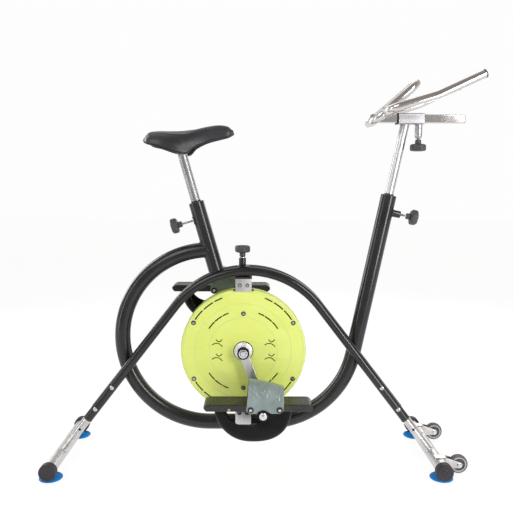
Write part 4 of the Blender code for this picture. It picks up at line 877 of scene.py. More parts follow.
# A thin dark disc on the extension: painted shade in place of the adjusting hole.
PIN_HOLE_SHADE = mm([(0, 11.4), (4.3, 11.4), (4.3, 12.85), (3.6, 12.9), (0, 12.7)])
CAP = mm([(0, 3.4), (6, 3.4), (6.4, 3.7), (10.8, 3.6), (11.2, 3.2), (15.2, 3.2), (15.7, 3.6)]
         + [(20 + x, z - 2) for x, z in arc(5.6, 90.0, 0.0, 8)]
         + [(25.6, -6), (25.2, -15), (25.5, -18.5), (25.5, -20.5), (24.6, -22), (19.2, -22), (19.2, -10)])
FOOT = mm([(0, 15), (10.5, 15), (11.8, 13.8), (12.2, 10), (13.5, 7.8), (17, 6.6), (22.5, 6), (23.2, 6.6), (25.2, 6.6),
           (26, 5.8), (31, 5), (33.2, 4), (34.5, 2.2), (34.5, 0.6), (33.9, 0), (29.6, 0), (24, 1.8), (12, 2.6),
           (0, 2.8)])
WHEEL_TYRE = mirrored(mm([(23.6, 8.6), (24.6, 9.8), (26.2, 9.2), (27.6, 6.8), (28.3, 3.8), (28.5, 1.8), (28.1, 1),
                          (28.1, 0)]))
WHEEL_RIM = mirrored(mm([(18.4, 7), (19.2, 9), (22.8, 9.4), (23.8, 7.8)]))
WHEEL_CORE = mirrored(mm([(4.3, 10), (8.5, 10), (10, 8.8), (10.6, 5.5), (17.6, 5), (18.8, 7.2)]))
PLATE_Y = 0.0115


def build_base():
    for end, base_x in ENDS:
        line = [at(base_x, y, BASE_Z) for y in (-BASE_HALF, -0.1, 0.0, 0.1, BASE_HALF)]
        rod(f"{end}_cross_tube", ACROSS_STEEL, line, BASE_R, 48, f"{end}_base_tube")
        seams = []
        for label, side in SIDES:
            low, high = leg_point(base_x, 0.008, side), leg_point(base_x, 0.20, side)
            run = (high - low).normalized()
            rod(f"{label}_{end}_extension", LEG_STEEL, [low, (low + high) / 2, high], EXTENSION_R, 36,
                f"{label}_{end}_leg")
            seams += weld_line(leg_point(base_x, 0.0, side), run, EXTENSION_R + 0.0006, at(base_x, 0, BASE_Z),
                               ACROSS, BASE_R + 0.0002)
            build_leg_fittings(f"{label}_{end}", base_x, side, run)
            lathe(f"{label}_{end}_end_cup", CAP_RUBBER, CAP, at(base_x, side * BASE_HALF, BASE_Z), (0, side, 0),
                  f"{label}_{end}_cap", 56, angle=50)
            lathe(f"{label}_{end}_suction_foot", FOOT_RUBBER, FOOT, at(base_x, side * FOOT_Y, 0.0), UP,
                  f"{label}_{end}_foot", 64, angle=30)
        weld(f"{end}_base_welds", seams, LEG_STEEL, 0.0017)


def build_leg_fittings(name, base_x, side, run):
    """The leg's collar, its two bolts, and dark discs painted on as the shade of the extension's adjusting hole."""
    outward = vec(0, side, 0)
    outward = (outward - run * outward.dot(run)).normalized()
    lathe(f"{name}_leg_collar", CHARCOAL, LEG_COLLAR, leg_point(base_x, LEG_END, side), run, None, 40, True)
    places = [(leg_point(base_x, distance, side) + way * (ARCH_PIPE_R - 0.0002), way)
              for distance in (0.1836, 0.2696) for way in (outward, -outward)]
    fasten(f"{name}_leg_bolts", BUTTON_HEAD, places, BRIGHT, 1.25, 5)
    bm = bmesh.new()
    for way in (outward, -outward):
        turn(bm, PIN_HOLE_SHADE, leg_point(base_x, 0.1022, side), way, 24)
    piece(f"{name}_pin_holes", DEEP_BLACK, bm)


def build_wheel(label, side):
    """A transport wheel: tyre, pale ring, dark hub, and the plates that carry it."""
    middle = at(WHEEL_X, side * WHEEL_Y, WHEEL_Z)
    body = f"{label}_transport_wheel"
    way = (0, side, 0)
    lathe(f"{label}_wheel_tyre", TYRE, WHEEL_TYRE, middle, way, f"{label}_wheel", 72, True, body, 45)
    lathe(f"{label}_wheel_rim", TYRE_RING, WHEEL_RIM, middle, way, None, 72, True, body, 45)
    bm = bmesh.new()
    turn(bm, WHEEL_CORE, middle, way, 56, True)
    for k in range(6):
        spin = Matrix.Translation(middle) @ Matrix.Rotation(math.pi / 2 - math.pi * k / 3, 4, "Y")
        bmesh.ops.transform(bm, matrix=spin, verts=brick(bm, (0, 0, 0), (-1.1, -6.6, 9.8), (1.1, 6.6, 18.4)))
    piece(f"{label}_wheel_core", CHARCOAL, bm, None, body, 40, "wheel_tyre")

    outline = [(-0.012, 0.0213), (0.020, 0.0213)]
    outline += [(WHEEL_X - FRONT_BASE_X + x, WHEEL_Z - BASE_Z + z) for x, z in arc(0.0095, 75.0, -105.0, 12)]
    outline += [(0.004, -0.012), (-0.012, 0.0)]
    foot = at(FRONT_BASE_X, side * WHEEL_Y, BASE_Z)
    bm = bmesh.new()
    for across in WAYS:
        slab(bm, [outline], 0.002, foot + vec(0, across * (PLATE_Y + 0.001), 0), 0.0004)
    brick(bm, foot, (-12, -13.5, 19.3), (20, 13.5, 21.3))
    piece(f"{label}_wheel_plates", LEG_STEEL, bm, f"{label}_wheel_fork")
    nuts = [(middle + vec(0, across * (PLATE_Y + 0.0021), 0), (0, across, 0)) for across in WAYS]
    fasten(f"{label}_wheel_nuts", HEX_NUT, nuts, BRIGHT, 1.05, 2)
    reach = vec(0, PLATE_Y + 0.0018, 0)
    rod(f"{label}_wheel_pin", BRIGHT, [middle - reach, middle + reach], 0.0039, 20, f"{label}_wheel_bolt", ends=0.0015)


# Knobs

QUARTER = [math.pi / 12 * k for k in range(7)]
KNOB_ROWS = [(24.5, -10.6), (11, -10.6), (10, -11)]
KNOB_ROWS += [(10 - 10 * math.sin(turn), -4.8 - 6.2 * math.cos(turn)) for turn in QUARTER[1:]]
KNOB_ROWS += [(6.2 - 6.2 * math.cos(turn), 4.8 + 6.2 * math.sin(turn)) for turn in QUARTER]
KNOB_ROWS += [(12.5, 11.3), (13.2, 10.4), (19, 10.6)]
KNOB_HUB = mm([(0, 2), (9.5, 2), (9.5, -7.5, 1), (8.5, -13, 1.2), (0, -13)], 3)


def knob(name, axis_point, way, tip, out, body, node):
    """A six-lobed knob with a stepped hub and a bright threaded screw."""
    way = Vector(way).normalized()
    place = Vector(axis_point)
    side = way.orthogonal().normalized()
    spokes = circle(side, way.cross(side), 72)
    bm = bmesh.new()
    rings = []
    for inset, height in KNOB_ROWS:
        ring = []
        for i, spoke in enumerate(spokes):
            radius = 24.5 - 1.1 * (1 - math.cos(math.pi * i / 6)) - min(inset, 20.5)
            ring.append(bm.verts.new(place + way * (out + height / 1000) + radius / 1000 * spoke))
        rings.append(ring)
    skin(bm, rings)
    bm.faces.new(rings[0])
    bm.faces.new(rings[-1])
    inner = out - 0.011
    turn(bm, KNOB_HUB, place + way * inner, way, 32)
    piece(f"{name}_grip", CHARCOAL, bm, node, body, 50)

    profile = [(0.0, tip), (0.0033, tip), (0.0039, tip + 0.0008)]
    height = tip + 0.0008
    while height < inner - 0.0135:
        profile += [(0.0039, height), (0.0034, height + 0.0006)]
        height += 0.0012
    profile += [(0.0039, inner - 0.0128), (0.0, inner - 0.0128)]
    lathe(f"{name}_screw", BRIGHT, profile, place, way, None, 20, body=body, angle=60)


# Disc unit

def disc_arc(radius, first, last, width, steps=14):
    """The outline of a slot: an arc of the given width with round ends."""
    outline = []
    for edge, start, end, lift in ((width / 2, first, last, 0), (-width / 2, last, first, 180)):
        outline += arc(radius + edge, start, end, steps)
        x, z = arc(radius, end, end, 1)[0]
        outline += [(x + dx, z + dz) for dx, dz in arc(width / 2, end + lift, end + lift + 180, 5)[1:-1]]
    return outline


def curved_mark(points, width, steps=8):
    """A thin curved slot with round ends through three (x, z) points."""
    points = [Vector(point) for point in points]
    spine = []
    for i in range(steps + 1):
        s = i / steps
        weights = ((1 - s) * (1 - 2 * s), 4 * s * (1 - s), s * (2 * s - 1))
        spine.append(sum((point * weight for point, weight in zip(points, weights)), Vector((0.0, 0.0))))
    upper, lower = [], []
    for i, spot in enumerate(spine):
        way = (spine[min(i + 1, steps)] - spine[max(i - 1, 0)]).normalized()
        across = Vector((-way.y, way.x)) * width / 2
        upper.append(tuple(spot + across))
        lower.append(tuple(spot - across))
    tip, tail = ((end - inner).normalized() * width * 0.42 for end, inner in ((spine[-1], spine[-2]), spine[:2]))
    return upper + [tuple(spine[-1] + tip)] + lower[::-1] + [tuple(spine[0] + tail)]


def cover_slots():
    slots = []
    for radius in (0.1821, 0.1301):
        for first, last in ((34.0, 45.0), (47.5, 58.0), (60.5, 68.0)):
            for start in (first, 180 - last, 180 + first, 360 - last):
                slots.append(disc_arc(radius, start, start + last - first, 0.0042))
    smile = [(-0.0862, 0.0364), (-0.0769, 0.0295), (-0.0676, 0.0364)]
    frown = [(-0.0985, 0.0193), (-0.0820, 0.0244), (-0.0665, 0.0138)]
    for across in (0.0, 0.166):
        for down in (0.0, -0.0463):
            for mark in (smile, frown):
                slots.append(curved_mark([(x + across, z + down) for x, z in mark], 0.0030))
    return slots


COVER_RIM = mm([(190.8, 19.5), (190.8, 22.5), (191.8, 22.6), (193.5, 22.2), (195.5, 21.3), (197, 19.8), (197.8, 18),
                (198, 16), (198, 1.8), (197.4, 0.5), (195, 0.5), (195, 18)])
COVER_COLLAR = mm([(31.2, 19.5), (35, 19.5), (35.8, 22.6), (35, 23.3), (32.2, 23.3), (31.2, 22.6)])
# A black disc behind the slotted face: painted shade for the dark inside seen through the slots.
COVER_SHADE_DISC = mm([(33, 17.2), (33, 18.5), (194.5, 18.5), (194.5, 17.2)])
HUB = mm([(18.6, 22.8), (29, 22.8, 0.6), (29, 27, 1.6), (21.2, 30, 3), (20.6, 37.2, 1), (18.6, 38.4)])
CRANK_BOSS = mm([(0, 56), (10.8, 56), (11.2, 59.4, 0.6), (17.2, 59.4, 1.2), (18.7, 57.2, 1.2), (18.7, 42, 0.8),
                 (12.5, 40), (0, 40)], 3)
CRANK_RING = mm([(9.8, 59), (14, 59, 0.3), (14, 60.2, 0.6), (9.8, 60.2)], 3)
CRANK_END = mm([(0, 61.2), (5, 61.2, 0.8), (6.2, 60, 0.8), (6.2, 56), (0, 56)], 3)
SCREW_SPOTS = [(0.914, angle) for angle in (30.0, 150.0, 210.0, 330.0)] + [(0.606, 90.0), (0.606, 270.0)]


def build_disc(label, side):
    """One half of the disc's shell, a slotted face with a turned rim, and the hub on it."""
    way = vec(0, side, 0)
    holes = [arc(0.1915, 0.0, 360.0, 144)[:-1], arc(0.0312, 0.0, 360.0, 64)[:-1]] + cover_slots()
    bm = bmesh.new()
    slab(bm, holes, 0.0030, DISC_CENTRE + way * (DISC_HALF - 0.0015))
    turn(bm, COVER_RIM, DISC_CENTRE, way, 176, True)
    turn(bm, COVER_COLLAR, DISC_CENTRE, way, 72, True)
    piece(f"{label}_disc_shell", COVER_GREEN, bm, f"{label}_cover", angle=32)

    bm = bmesh.new()
    for radius in (189.5, 152, 108):
        ridge = [(radius - 1.1, 22.4), (radius - 0.6, 22.85), (radius, 23), (radius + 0.6, 22.85), (radius + 1.1, 22.4)]
        turn(bm, mm(ridge), DISC_CENTRE, way, 144, True)
    piece(f"{label}_disc_ridges", RIM_GREEN, bm, angle=60)
    # Painted shade: a black disc behind the slots, so that they read as dark.
    lathe(f"{label}_disc_lining", DEEP_BLACK, COVER_SHADE_DISC, DISC_CENTRE, way, None, 96, True)

    places = []
    for share, angle in SCREW_SPOTS:
        x, z = arc(share * DISC_R, angle, angle, 1)[0]
        places.append((DISC_CENTRE + vec(x, side * DISC_HALF, z), way))
    fasten(f"{label}_disc_washers", DARK_WASHER, places, DARK_STEEL, 1.2, 7)
    lifted = [(point + way * 0.0004, way) for point, way in places]
    fasten(f"{label}_disc_screws", SMALL_HEAD, lifted, BRIGHT, 1.05, 9)

    lathe(f"{label}_hub_flange", HUB_WHITE, HUB, DISC_CENTRE, way, f"{label}_hub_ring", 64, True, angle=45)
    places = [(DISC_CENTRE + vec(x, side * 0.0268, z), way) for x, z in arc(0.0244, 0.0, 270.0, 3)]
    fasten(f"{label}_hub_screws", SMALL_HEAD, places, DARK_STEEL, 0.75, 11)


def crank_places(side):
    """The crank's own directions: along it, across it in the disc's plane, and its spindle's place."""
    turned = CRANK_TURN + (math.pi if side > 0 else 0.0)
    along = vec(math.sin(turned), 0.0, -math.cos(turned))
    across = vec(math.cos(turned), 0.0, math.sin(turned))
    return along, across, DISC_CENTRE + along * CRANK_LENGTH


def build_crank(label, side):
    along, across, spindle = crank_places(side)
    way = vec(0, side, 0)
    outline = arc(0.0140, 180.0, 360.0, 20) + [(x, CRANK_LENGTH + z) for x, z in arc(0.0140, 0.0, 180.0, 20)]
    bm = bmesh.new()
    verts = soft_slab(bm, outline, CRANK_FACE - CRANK_Y, (0.0, 0.0, 0.0))
    turned = Matrix((across, way, along)).transposed().to_4x4()
    lift = Matrix.Translation(DISC_CENTRE + way * (CRANK_FACE + CRANK_Y) / 2) @ turned
    bmesh.ops.transform(bm, matrix=lift, verts=verts)
    piece(f"{label}_crank_bar", PLATE_STEEL, bm, f"{label}_crank", "crankset")
    lathe(f"{label}_crank_boss", BLACK_PLASTIC, CRANK_BOSS, DISC_CENTRE, way, None, 56, body="crankset", angle=40)
    fasten(f"{label}_crank_nut", HEX_NUT, [(DISC_CENTRE + way * 0.0560, way)], BRIGHT, 1.55, 4, "crankset")
    lathe(f"{label}_crank_ring", BRIGHT, CRANK_RING, DISC_CENTRE, way, None, 56, True, "crankset", 50)
    lathe(f"{label}_crank_end", BRIGHT, CRANK_END, DISC_CENTRE, way, f"{label}_crank_bolt", 32, body="crankset")


# Pedals, with their baskets and straps

PLATFORM = mm([(-177, 26.8, 3), (-169, 32.8, 3), (139.5, 32.8, 3), (147.5, 25.8, 3), (147.5, 20, 3), (140, 12.5, 4),
               (-169, 12.5, 4), (-175.5, 19.5, 4)], 5, True)
PEDAL_HUB = mm([(0, 70), (17, 70, 0.5), (18, 71.2, 0.6), (18, 164.8, 0.6), (16.8, 166, 0.5), (0, 166)], 3)
SPINDLE_HEAD = mm([(0, 171.2), (4, 171.2), (6, 170.2, 0.5), (10, 170.2, 0.8), (11.5, 169, 0.8), (11.5, 166.4),
                   (0, 166.4)], 3)
SPINDLE = mm([(0, 42), (7, 42), (7, 70.2), (0, 70.2)])
SPINDLE_COLLAR = mm([(11.8, 165), (18, 165, 0.4), (18, 168.2, 1.2), (11.8, 168.2)])
RIB_COUNT, RIB_RUN = 48, 0.2940


def build_pedal(label, side):
    """A long ribbed platform on its spindle, the basket under the foot and the strap over it."""
    body = f"{label}_foot_rest"
    way = vec(0, side, 0)
    spindle = crank_places(side)[2]
    axis = vec(spindle.x, 0.0, spindle.z)
    inner_y = PEDAL_INNER_Y + 0.011
    middle_y, half_y = side * (inner_y + PEDAL_OUTER_Y) / 2, (PEDAL_OUTER_Y - inner_y) / 2
    strap_y = side * (PEDAL_INNER_Y + PEDAL_OUTER_Y) / 2
    top = PEDAL_TOP - 0.0012

    def here(x, y, z):
        return vec(spindle.x + x, y, spindle.z + z)

    bm = bmesh.new()
    soft_slab(bm, PLATFORM, 2 * half_y, here(0.0, middle_y, 0.0), 0.0022, 4)
    turn(bm, PEDAL_HUB, axis, way, 44)
    piece(f"{label}_foot_platform", DECK_PLASTIC, bm, f"{label}_pedal", body, 40)

    pitch = RIB_RUN / (RIB_COUNT - 1)
    values = {"Count": RIB_COUNT, "First Place": here(-0.1610, middle_y, top + 0.0001), "Pitch": (pitch, 0.0, 0.0),
              "Rib Size": (pitch * 0.52, 2 * half_y - 0.0120, 0.0022)}
    soften(grow(f"{label}_foot_ribs", RIBS, point_mesh([]), DECK_PLASTIC, values, body), 0.0005)
    bm = bmesh.new()
    for edge in WAYS:
        spot = here(-0.0148, middle_y + edge * (half_y - 0.0036), top)
        brick(bm, spot, (-150, -1.4, -0.6), (150, 1.4, 1))
    for x in (-0.1500, -0.1445, 0.1235, 0.1290):
        spot = here(x, middle_y + side * (half_y - 0.0004), PEDAL_RISE + 0.0088)
        brick(bm, spot, (-1.1, -1, -4.8), (1.1, 1, 4.8))
    piece(f"{label}_foot_rails", DECK_PLASTIC, bm, None, body, 30, edge=0.0005)
    screws = [(here(-0.1010, side * y, PEDAL_RISE + 0.0068), out) for y, out in ((PEDAL_OUTER_Y, way), (inner_y, -way))]
    fasten(f"{label}_foot_screws", BUTTON_HEAD, screws, BRASS, 0.85, 12, body)

    build_basket(label, side, body, here, strap_y)
    build_strap(label, side, body, here, strap_y)

    bm = bmesh.new()
    turn(bm, SPINDLE_HEAD, axis, way, 40)
    turn(bm, SPINDLE, axis, way, 28)
    piece(f"{label}_spindle_bolt", BRIGHT, bm, f"{label}_pedal_spindle", body)
    lathe(f"{label}_spindle_collar", BLACK_PLASTIC, SPINDLE_COLLAR, axis, way, None, 56, True, body, 45)


# The basket, as a cup of half-round sections
BASKET_X, BASKET_LENGTH, BASKET_DEPTH, BASKET_HALF = -0.0295, 0.118, 0.1065, 0.042
BASKET_RIM = PEDAL_RISE - 0.0004


def basket_size(long_way):
    """The share of the cup's full section at a place along it, from -1 to 1."""
    return 1.0 - abs(long_way) ** (2.35 + 0.45 * long_way)


def basket_point(share, turned, wall):
    """A point of the cup, measured from the spindle and the cup's own middle plane."""
    long_way = math.sin(share * math.pi / 2)
    size = math.sqrt(max(0.0, basket_size(long_way)))
    across = (BASKET_HALF - wall) * size ** 0.6 * math.copysign(abs(math.cos(turned)) ** 0.72, math.cos(turned))
    depth = (BASKET_DEPTH - wall) * size * math.sin(turned)
    return BASKET_X + (BASKET_LENGTH - wall) * long_way, across, BASKET_RIM - depth


def basket_wall(x, z, edge):
    """The cup's outer surface beside a place (x, z), on one side."""
    size = math.sqrt(max(1e-6, basket_size((x - BASKET_X) / BASKET_LENGTH)))
    sine = min(1.0, max(0.0, (BASKET_RIM - z) / (BASKET_DEPTH * size)))
    return edge * BASKET_HALF * size ** 0.6 * math.sqrt(1.0 - sine * sine) ** 0.72


def build_basket(label, side, body, here, middle_y):
    """A deep cup with a rounded window in each side and short ribs below the spindle."""
    long_steps, round_steps = 96, 64
    bm = bmesh.new()
    shells = []
    for wall in (0.0, 0.0030):
        rows = []
        for i in range(long_steps + 1):
            spots = [basket_point(-1.0 + 2.0 * i / long_steps, math.pi * k / round_steps, wall)
                     for k in range(round_steps + 1)]
            rows.append([bm.verts.new(here(x, middle_y + y, z)) for x, y, z in spots])
        shells.append(rows)
    outer, inner = shells
    for i in range(long_steps):
        for k in range(round_steps):
            bm.faces.new((outer[i][k], outer[i][k + 1], outer[i + 1][k + 1], outer[i + 1][k]))
            bm.faces.new((inner[i][k], inner[i + 1][k], inner[i + 1][k + 1], inner[i][k + 1]))
        for k in (0, round_steps):
            bm.faces.new((outer[i][k], outer[i + 1][k], inner[i + 1][k], inner[i][k]))
    for i in (0, long_steps):
        for k in range(round_steps):
            bm.faces.new((outer[i][k], outer[i][k + 1], inner[i][k + 1], inner[i][k]))
    bmesh.ops.dissolve_degenerate(bm, dist=0.000002, edges=bm.edges)
    basket = piece(f"{label}_foot_basket", BLACK_PLASTIC, bm, f"{label}_pedal_basket", body, 50)

    bm = bmesh.new()
    for edge, depth in ((side, 0.0455), (-side, 0.0760)):
        window = [(-0.0480 + 0.0680 * math.cos(turn), PEDAL_RISE - depth * math.sin(turn))
                  for turn in [math.pi * k / 36 for k in range(37)]]
        window += [(-0.1160, PEDAL_RISE + 0.02), (0.0200, PEDAL_RISE + 0.02)]
        soft_slab(bm, window, 0.0590, here(0.0, middle_y + edge * 0.0310, 0.0), 0.0004, 1)
    cut_away(basket, realize("window_cutter", bm, SPARES))

    bm = bmesh.new()
    for edge in WAYS:
        for k in range(7):
            turned = math.radians(-14 - 17 * k)
            line = []
            for step in range(9):
                reach = 0.026 + (0.0500 - 0.0016 * abs(k - 2)) * step / 8 * (1.0 if k < 5 else 0.55)
                x, z = 0.004 + reach * math.cos(turned), reach * math.sin(turned)
                line.append(here(x, middle_y + basket_wall(x, z, edge) + edge * 0.0002, z))
            sweep(bm, line, lambda share: 0.0016 - 0.0011 * share, 10, ends=0.0006)
    piece(f"{label}_basket_ribs", BLACK_PLASTIC, bm, None, body, 60)


# Folds of the strap: the two ends as (share of its length, share of its height), and the width
STRAP_FOLDS = [((0.02, 0.88), (0.30, 0.52), 0.035), ((0.06, 0.97), (0.40, 0.66), 0.030),
               ((0.03, 0.66), (0.20, 0.40), 0.030), ((0.12, 0.72), (0.17, 0.55), 0.022),
               ((0.47, 0.86), (0.51, 0.66), 0.026), ((0.53, 0.74), (0.50, 0.54), 0.024),
               ((0.58, 0.90), (0.60, 0.72), 0.022), ((0.76, 0.72), (0.79, 0.54), 0.024),
               ((0.83, 0.76), (0.86, 0.50), 0.024), ((0.66, 1.00), (0.94, 0.84), 0.030)]


def fold(share, height, start, end, width):
    """How near a place on the strap is to one of its folds, from 1 on it to 0 away from it."""
    a, b, spot = Vector(start), Vector(end), Vector((share, height))
    along = max(0.0, min(1.0, (spot - a).dot(b - a) / (b - a).length_squared))
    gap = (spot - a - (b - a) * along).length / width
    return math.exp(-gap * gap) * math.sin(math.pi * (0.15 + 0.7 * along))


def build_strap(label, side, body, here, middle_y):
    """A wide soft band over the foot, pulled into folds, lower towards the toe."""
    long_steps, round_steps = 66, 96
    seed = 3.0 if side < 0 else 11.0
    low = PEDAL_RISE - 0.0058
    rows = []
    for i in range(long_steps + 1):
        share = i / long_steps
        top = PEDAL_TOP + 0.0665 - 0.0240 * share + 0.0012 * math.sin(math.pi * share)
        corner = 0.0100 * (max(0.0, 1 - share / 0.11) ** 2 + max(0.0, 1 - (1 - share) / 0.11) ** 2)
        notch = 0.0085 * math.exp(-((share - 0.455) / 0.16) ** 4)
        row = []
        for k in range(round_steps + 1):
            turned = math.pi * k / round_steps
            lift = max(0.0, math.sin(turned)) ** 0.8
            height = low + (corner + notch) * (1 - lift) ** 6 + (top - low) * lift
            level = (height - low) / (top - low)
            x = -0.0505 + 0.111 * share + (0.0080 - 0.0055 * share) * lift
            bulge = sum(0.0018 * fold(share, level, *one) for one in STRAP_FOLDS)
            bulge += 0.0011 * noise.noise(vec(x * 30 + seed, turned * 1.3, height * 14)) * min(1.0, level * 4)
            out = vec(0.0, math.cos(turned), math.sin(turned))
            row.append(here(x, middle_y + 0.0460 * math.cos(turned), height) + out * bulge)
        rows.append(row)
    bm = bmesh.new()
    sheet_faces(bm, rows)
    bmesh.ops.recalc_face_normals(bm, faces=bm.faces)
    bmesh.ops.solidify(bm, geom=bm.faces[:], thickness=0.0021)
    piece(f"{label}_foot_band", STRAP, bm, f"{label}_pedal_strap", body, 60, smooth=True)

    half_y = (PEDAL_OUTER_Y - PEDAL_INNER_Y) / 2
    for name, head, gap, metal, turn_seed in (("washers", STRAP_WASHER, 0.0024, DEEP_BLACK, 15),
                                              ("screws", STRAP_HEAD, 0.0034, BRIGHT, 16)):
        places = [(here(x, middle_y + edge * (half_y + gap), PEDAL_RISE + 0.0060), (0, edge, 0))
                  for x in (-0.0370, 0.0490) for edge in WAYS]
        fasten(f"{label}_strap_{name}", head, places, metal, 1.0, turn_seed, body, "bright_steel")


# Brackets and the resistance adjuster

def bracket_plates(bm, low, high, soft, across):
    outline = mm([(-25, low, soft), (25, low, soft), (25, high, soft), (-25, high, soft)], 3, True)
    for side in WAYS:
        slab(bm, [outline], 0.0035, DISC_CENTRE + vec(0, side * across, 0))


def build_brackets():
    bm = bmesh.new()
    bracket_plates(bm, 191, 231, 2, 0.02455)
    brick(bm, DISC_CENTRE, (-24.5, -22.8, 198.6), (24.5, 22.8, 230.6))
    piece("disc_hanger", PLATE_STEEL, bm, "top_bracket", angle=30)
    bm = bmesh.new()
    brick(bm, DISC_CENTRE, (-26.5, -26.8, 231.2), (26.5, 26.8, 237.2))
    brick(bm, DISC_CENTRE, (-19.5, -8.8, 237.2), (19.5, 8.8, 268.8))
    piece("hanger_flange", POWDER_COAT, bm, angle=30, edge=0.0008)
    # Dark green blocks at the plate's lower corners: painted shade standing in for the gaps there.
    bm = bmesh.new()
    for side in WAYS:
        for end in WAYS:
            brick(bm, DISC_CENTRE, (end * 25.3, side * 22.8, 192.5), (end * 31.8, side * 26.4, 199.2))
    piece("hanger_lugs", PAINTED_SHADE_GREEN, bm, angle=30, edge=0.0006)
    places = pairs_across(DISC_CENTRE, (-0.0115, 0.0120), 0.0263, 0.2105)
    fasten("hanger_washers", DARK_WASHER, places, DARK_STEEL, 1.0, 17)
    fasten("hanger_screws", SMALL_HEAD, places, BRIGHT, 1.0, 18)

    bm = bmesh.new()
    bracket_plates(bm, -239, -186, 3, MAIN_R + 0.0021)
    brick(bm, DISC_CENTRE, (-23.5, -23.6, -214), (23.5, 23.6, -199.2))
    piece("disc_saddle_plate", PLATE_STEEL, bm, "bottom_bracket", angle=30)
    places = pairs_across(DISC_CENTRE, (-0.0125, 0.0125), MAIN_R + 0.0038, -0.2010)
    fasten("saddle_plate_washers", DARK_WASHER, places, DARK_STEEL, 1.15, 19)
    fasten("saddle_plate_bolts", HEX_NUT, places, BRIGHT, 0.72, 20)

    foot = at(ADJUSTER_X, 0.0, 0.0)
    socket = mm([(0, 622.8), (11.25, 622.8, 0.5), (11.25, 647.4, 1.4), (5.6, 647.4), (0, 647.4)])
    lathe("adjuster_socket", POWDER_COAT, socket, foot, UP, "adjuster_boss", 40)
    washer = mm([(4.4, 647.6), (8.8, 647.6, 0.4), (8.8, 650, 0.6), (4.4, 650)], 3)
    lathe("adjuster_washer", BRIGHT, washer, foot, UP, None, 32, True)


# Seat: post, clamp, rails and saddle

def rail_line(side):
    path = [(-0.098, 0.036, 0.0185), (-0.062, 0.032, -0.002), (-0.030, 0.022, 0.0), (0.028, 0.022, 0.006),
            (0.070, 0.018, 0.024), (0.112, 0.011, 0.040)]
    points = [(SEAT_HEAD.x + x, side * y, SEAT_HEAD.z + 0.0173 + z) for x, y, z in path]
    return rounded(points, [0, 0.020, 0.030, 0.040, 0.040, 0], 12)


def build_seat_post():
    path = [SEAT_TOP - SEAT_WAY * 0.125, SEAT_TOP, SEAT_HEAD - SEAT_WAY * 0.006]
    rod("seat_stem_bar", SHADED_SEAT_POST_STEEL, path, SEAT_POST_R, 48, "seat_post", "seat_stem", 0.0006)
    head = mm([(0, -24), (13, -24, 1.8), (13, 24, 1.8), (0, 24)])
    lathe("seat_stem_head", SHADED_SEAT_POST_STEEL, head, SEAT_HEAD, ACROSS, None, 40, body="seat_stem")
    bm = bmesh.new()
    back = SEAT_WAY.cross(ACROSS)
    for k in range(7):
        spot = SEAT_TOP + SEAT_WAY * (0.018 + 0.016 * k)
        sweep(bm, [spot - x * ACROSS + z * back for x, z in arc(0.0148, 40.0, 140.0, 10)], 0.00022, 8, ends=0.0001)
    piece("seat_stem_marks", DARK_STEEL, bm, None, "seat_stem", slot="stainless_steel")

    bm = bmesh.new()
    top = SEAT_HEAD + vec(0, 0, 0.0135)
    brick(bm, top, (-20, -28.5, -10.5), (20, 28.5, 3))
    brick(bm, top, (-18.5, -27, 3.6), (18.5, 27, 10.5))
    piece("saddle_clamp_plates", PLATE_STEEL, bm, "seat_clamp", "seat", 30, edge=0.0011)
    bm = bmesh.new()
    for side in WAYS:
        sweep(bm, rail_line(side), 0.0035, 20, ends=0.0005)
    piece("saddle_rails", BRIGHT, bm, None, "seat")
    places = [(top + vec(x, 0.0, 0.0105), UP) for x in (-0.012, 0.012)]
    fasten("saddle_clamp_bolts", HEX_NUT, places, BRIGHT, 0.8, 21, "seat")


# Stations along the saddle: (x, half width, top, lower edge)
SADDLE_STATIONS = [(-0.1085, 0.040, 0.0440, 0.0310), (-0.0980, 0.062, 0.0590, 0.0210),
                   (-0.0700, 0.075, 0.0640, 0.0140), (-0.0340, 0.076, 0.0640, 0.0020),
                   (0.0030, 0.066, 0.0650, -0.0070), (0.0230, 0.055, 0.0680, -0.0060),
                   (0.0420, 0.043, 0.0710, 0.0120), (0.0780, 0.030, 0.0790, 0.0290),
                   (0.1150, 0.025, 0.0840, 0.0390), (0.1430, 0.021, 0.0800, 0.0460),
                   (0.1555, 0.013, 0.0700, 0.0520)]
SADDLE_REAR, SADDLE_NOSE = SADDLE_STATIONS[0][0], SADDLE_STATIONS[-1][0]
LONG_STEPS, ROUND_STEPS = 66, 60
SEAM = round(ROUND_STEPS * 0.29)


def smooth_table(x, column):
    """A saddle measurement at x, eased between the stations."""
    table = SADDLE_STATIONS
    if x <= table[0][0]:
        return table[0][column]
    for i in range(len(table) - 1):
        first, last = table[i], table[i + 1]
        if x <= last[0]:
            before, after = table[max(i - 1, 0)], table[min(i + 2, len(table) - 1)]
            width = last[0] - first[0]
            share = (x - first[0]) / width
            slope_in = (last[column] - before[column]) / (last[0] - before[0]) * width
            slope_out = (after[column] - first[column]) / (after[0] - first[0]) * width
            square, cube = share * share, share ** 3
            return ((2 * cube - 3 * square + 1) * first[column] + (cube - 2 * square + share) * slope_in
                    + (3 * square - 2 * cube) * last[column] + (cube - square) * slope_out)
    return table[-1][column]


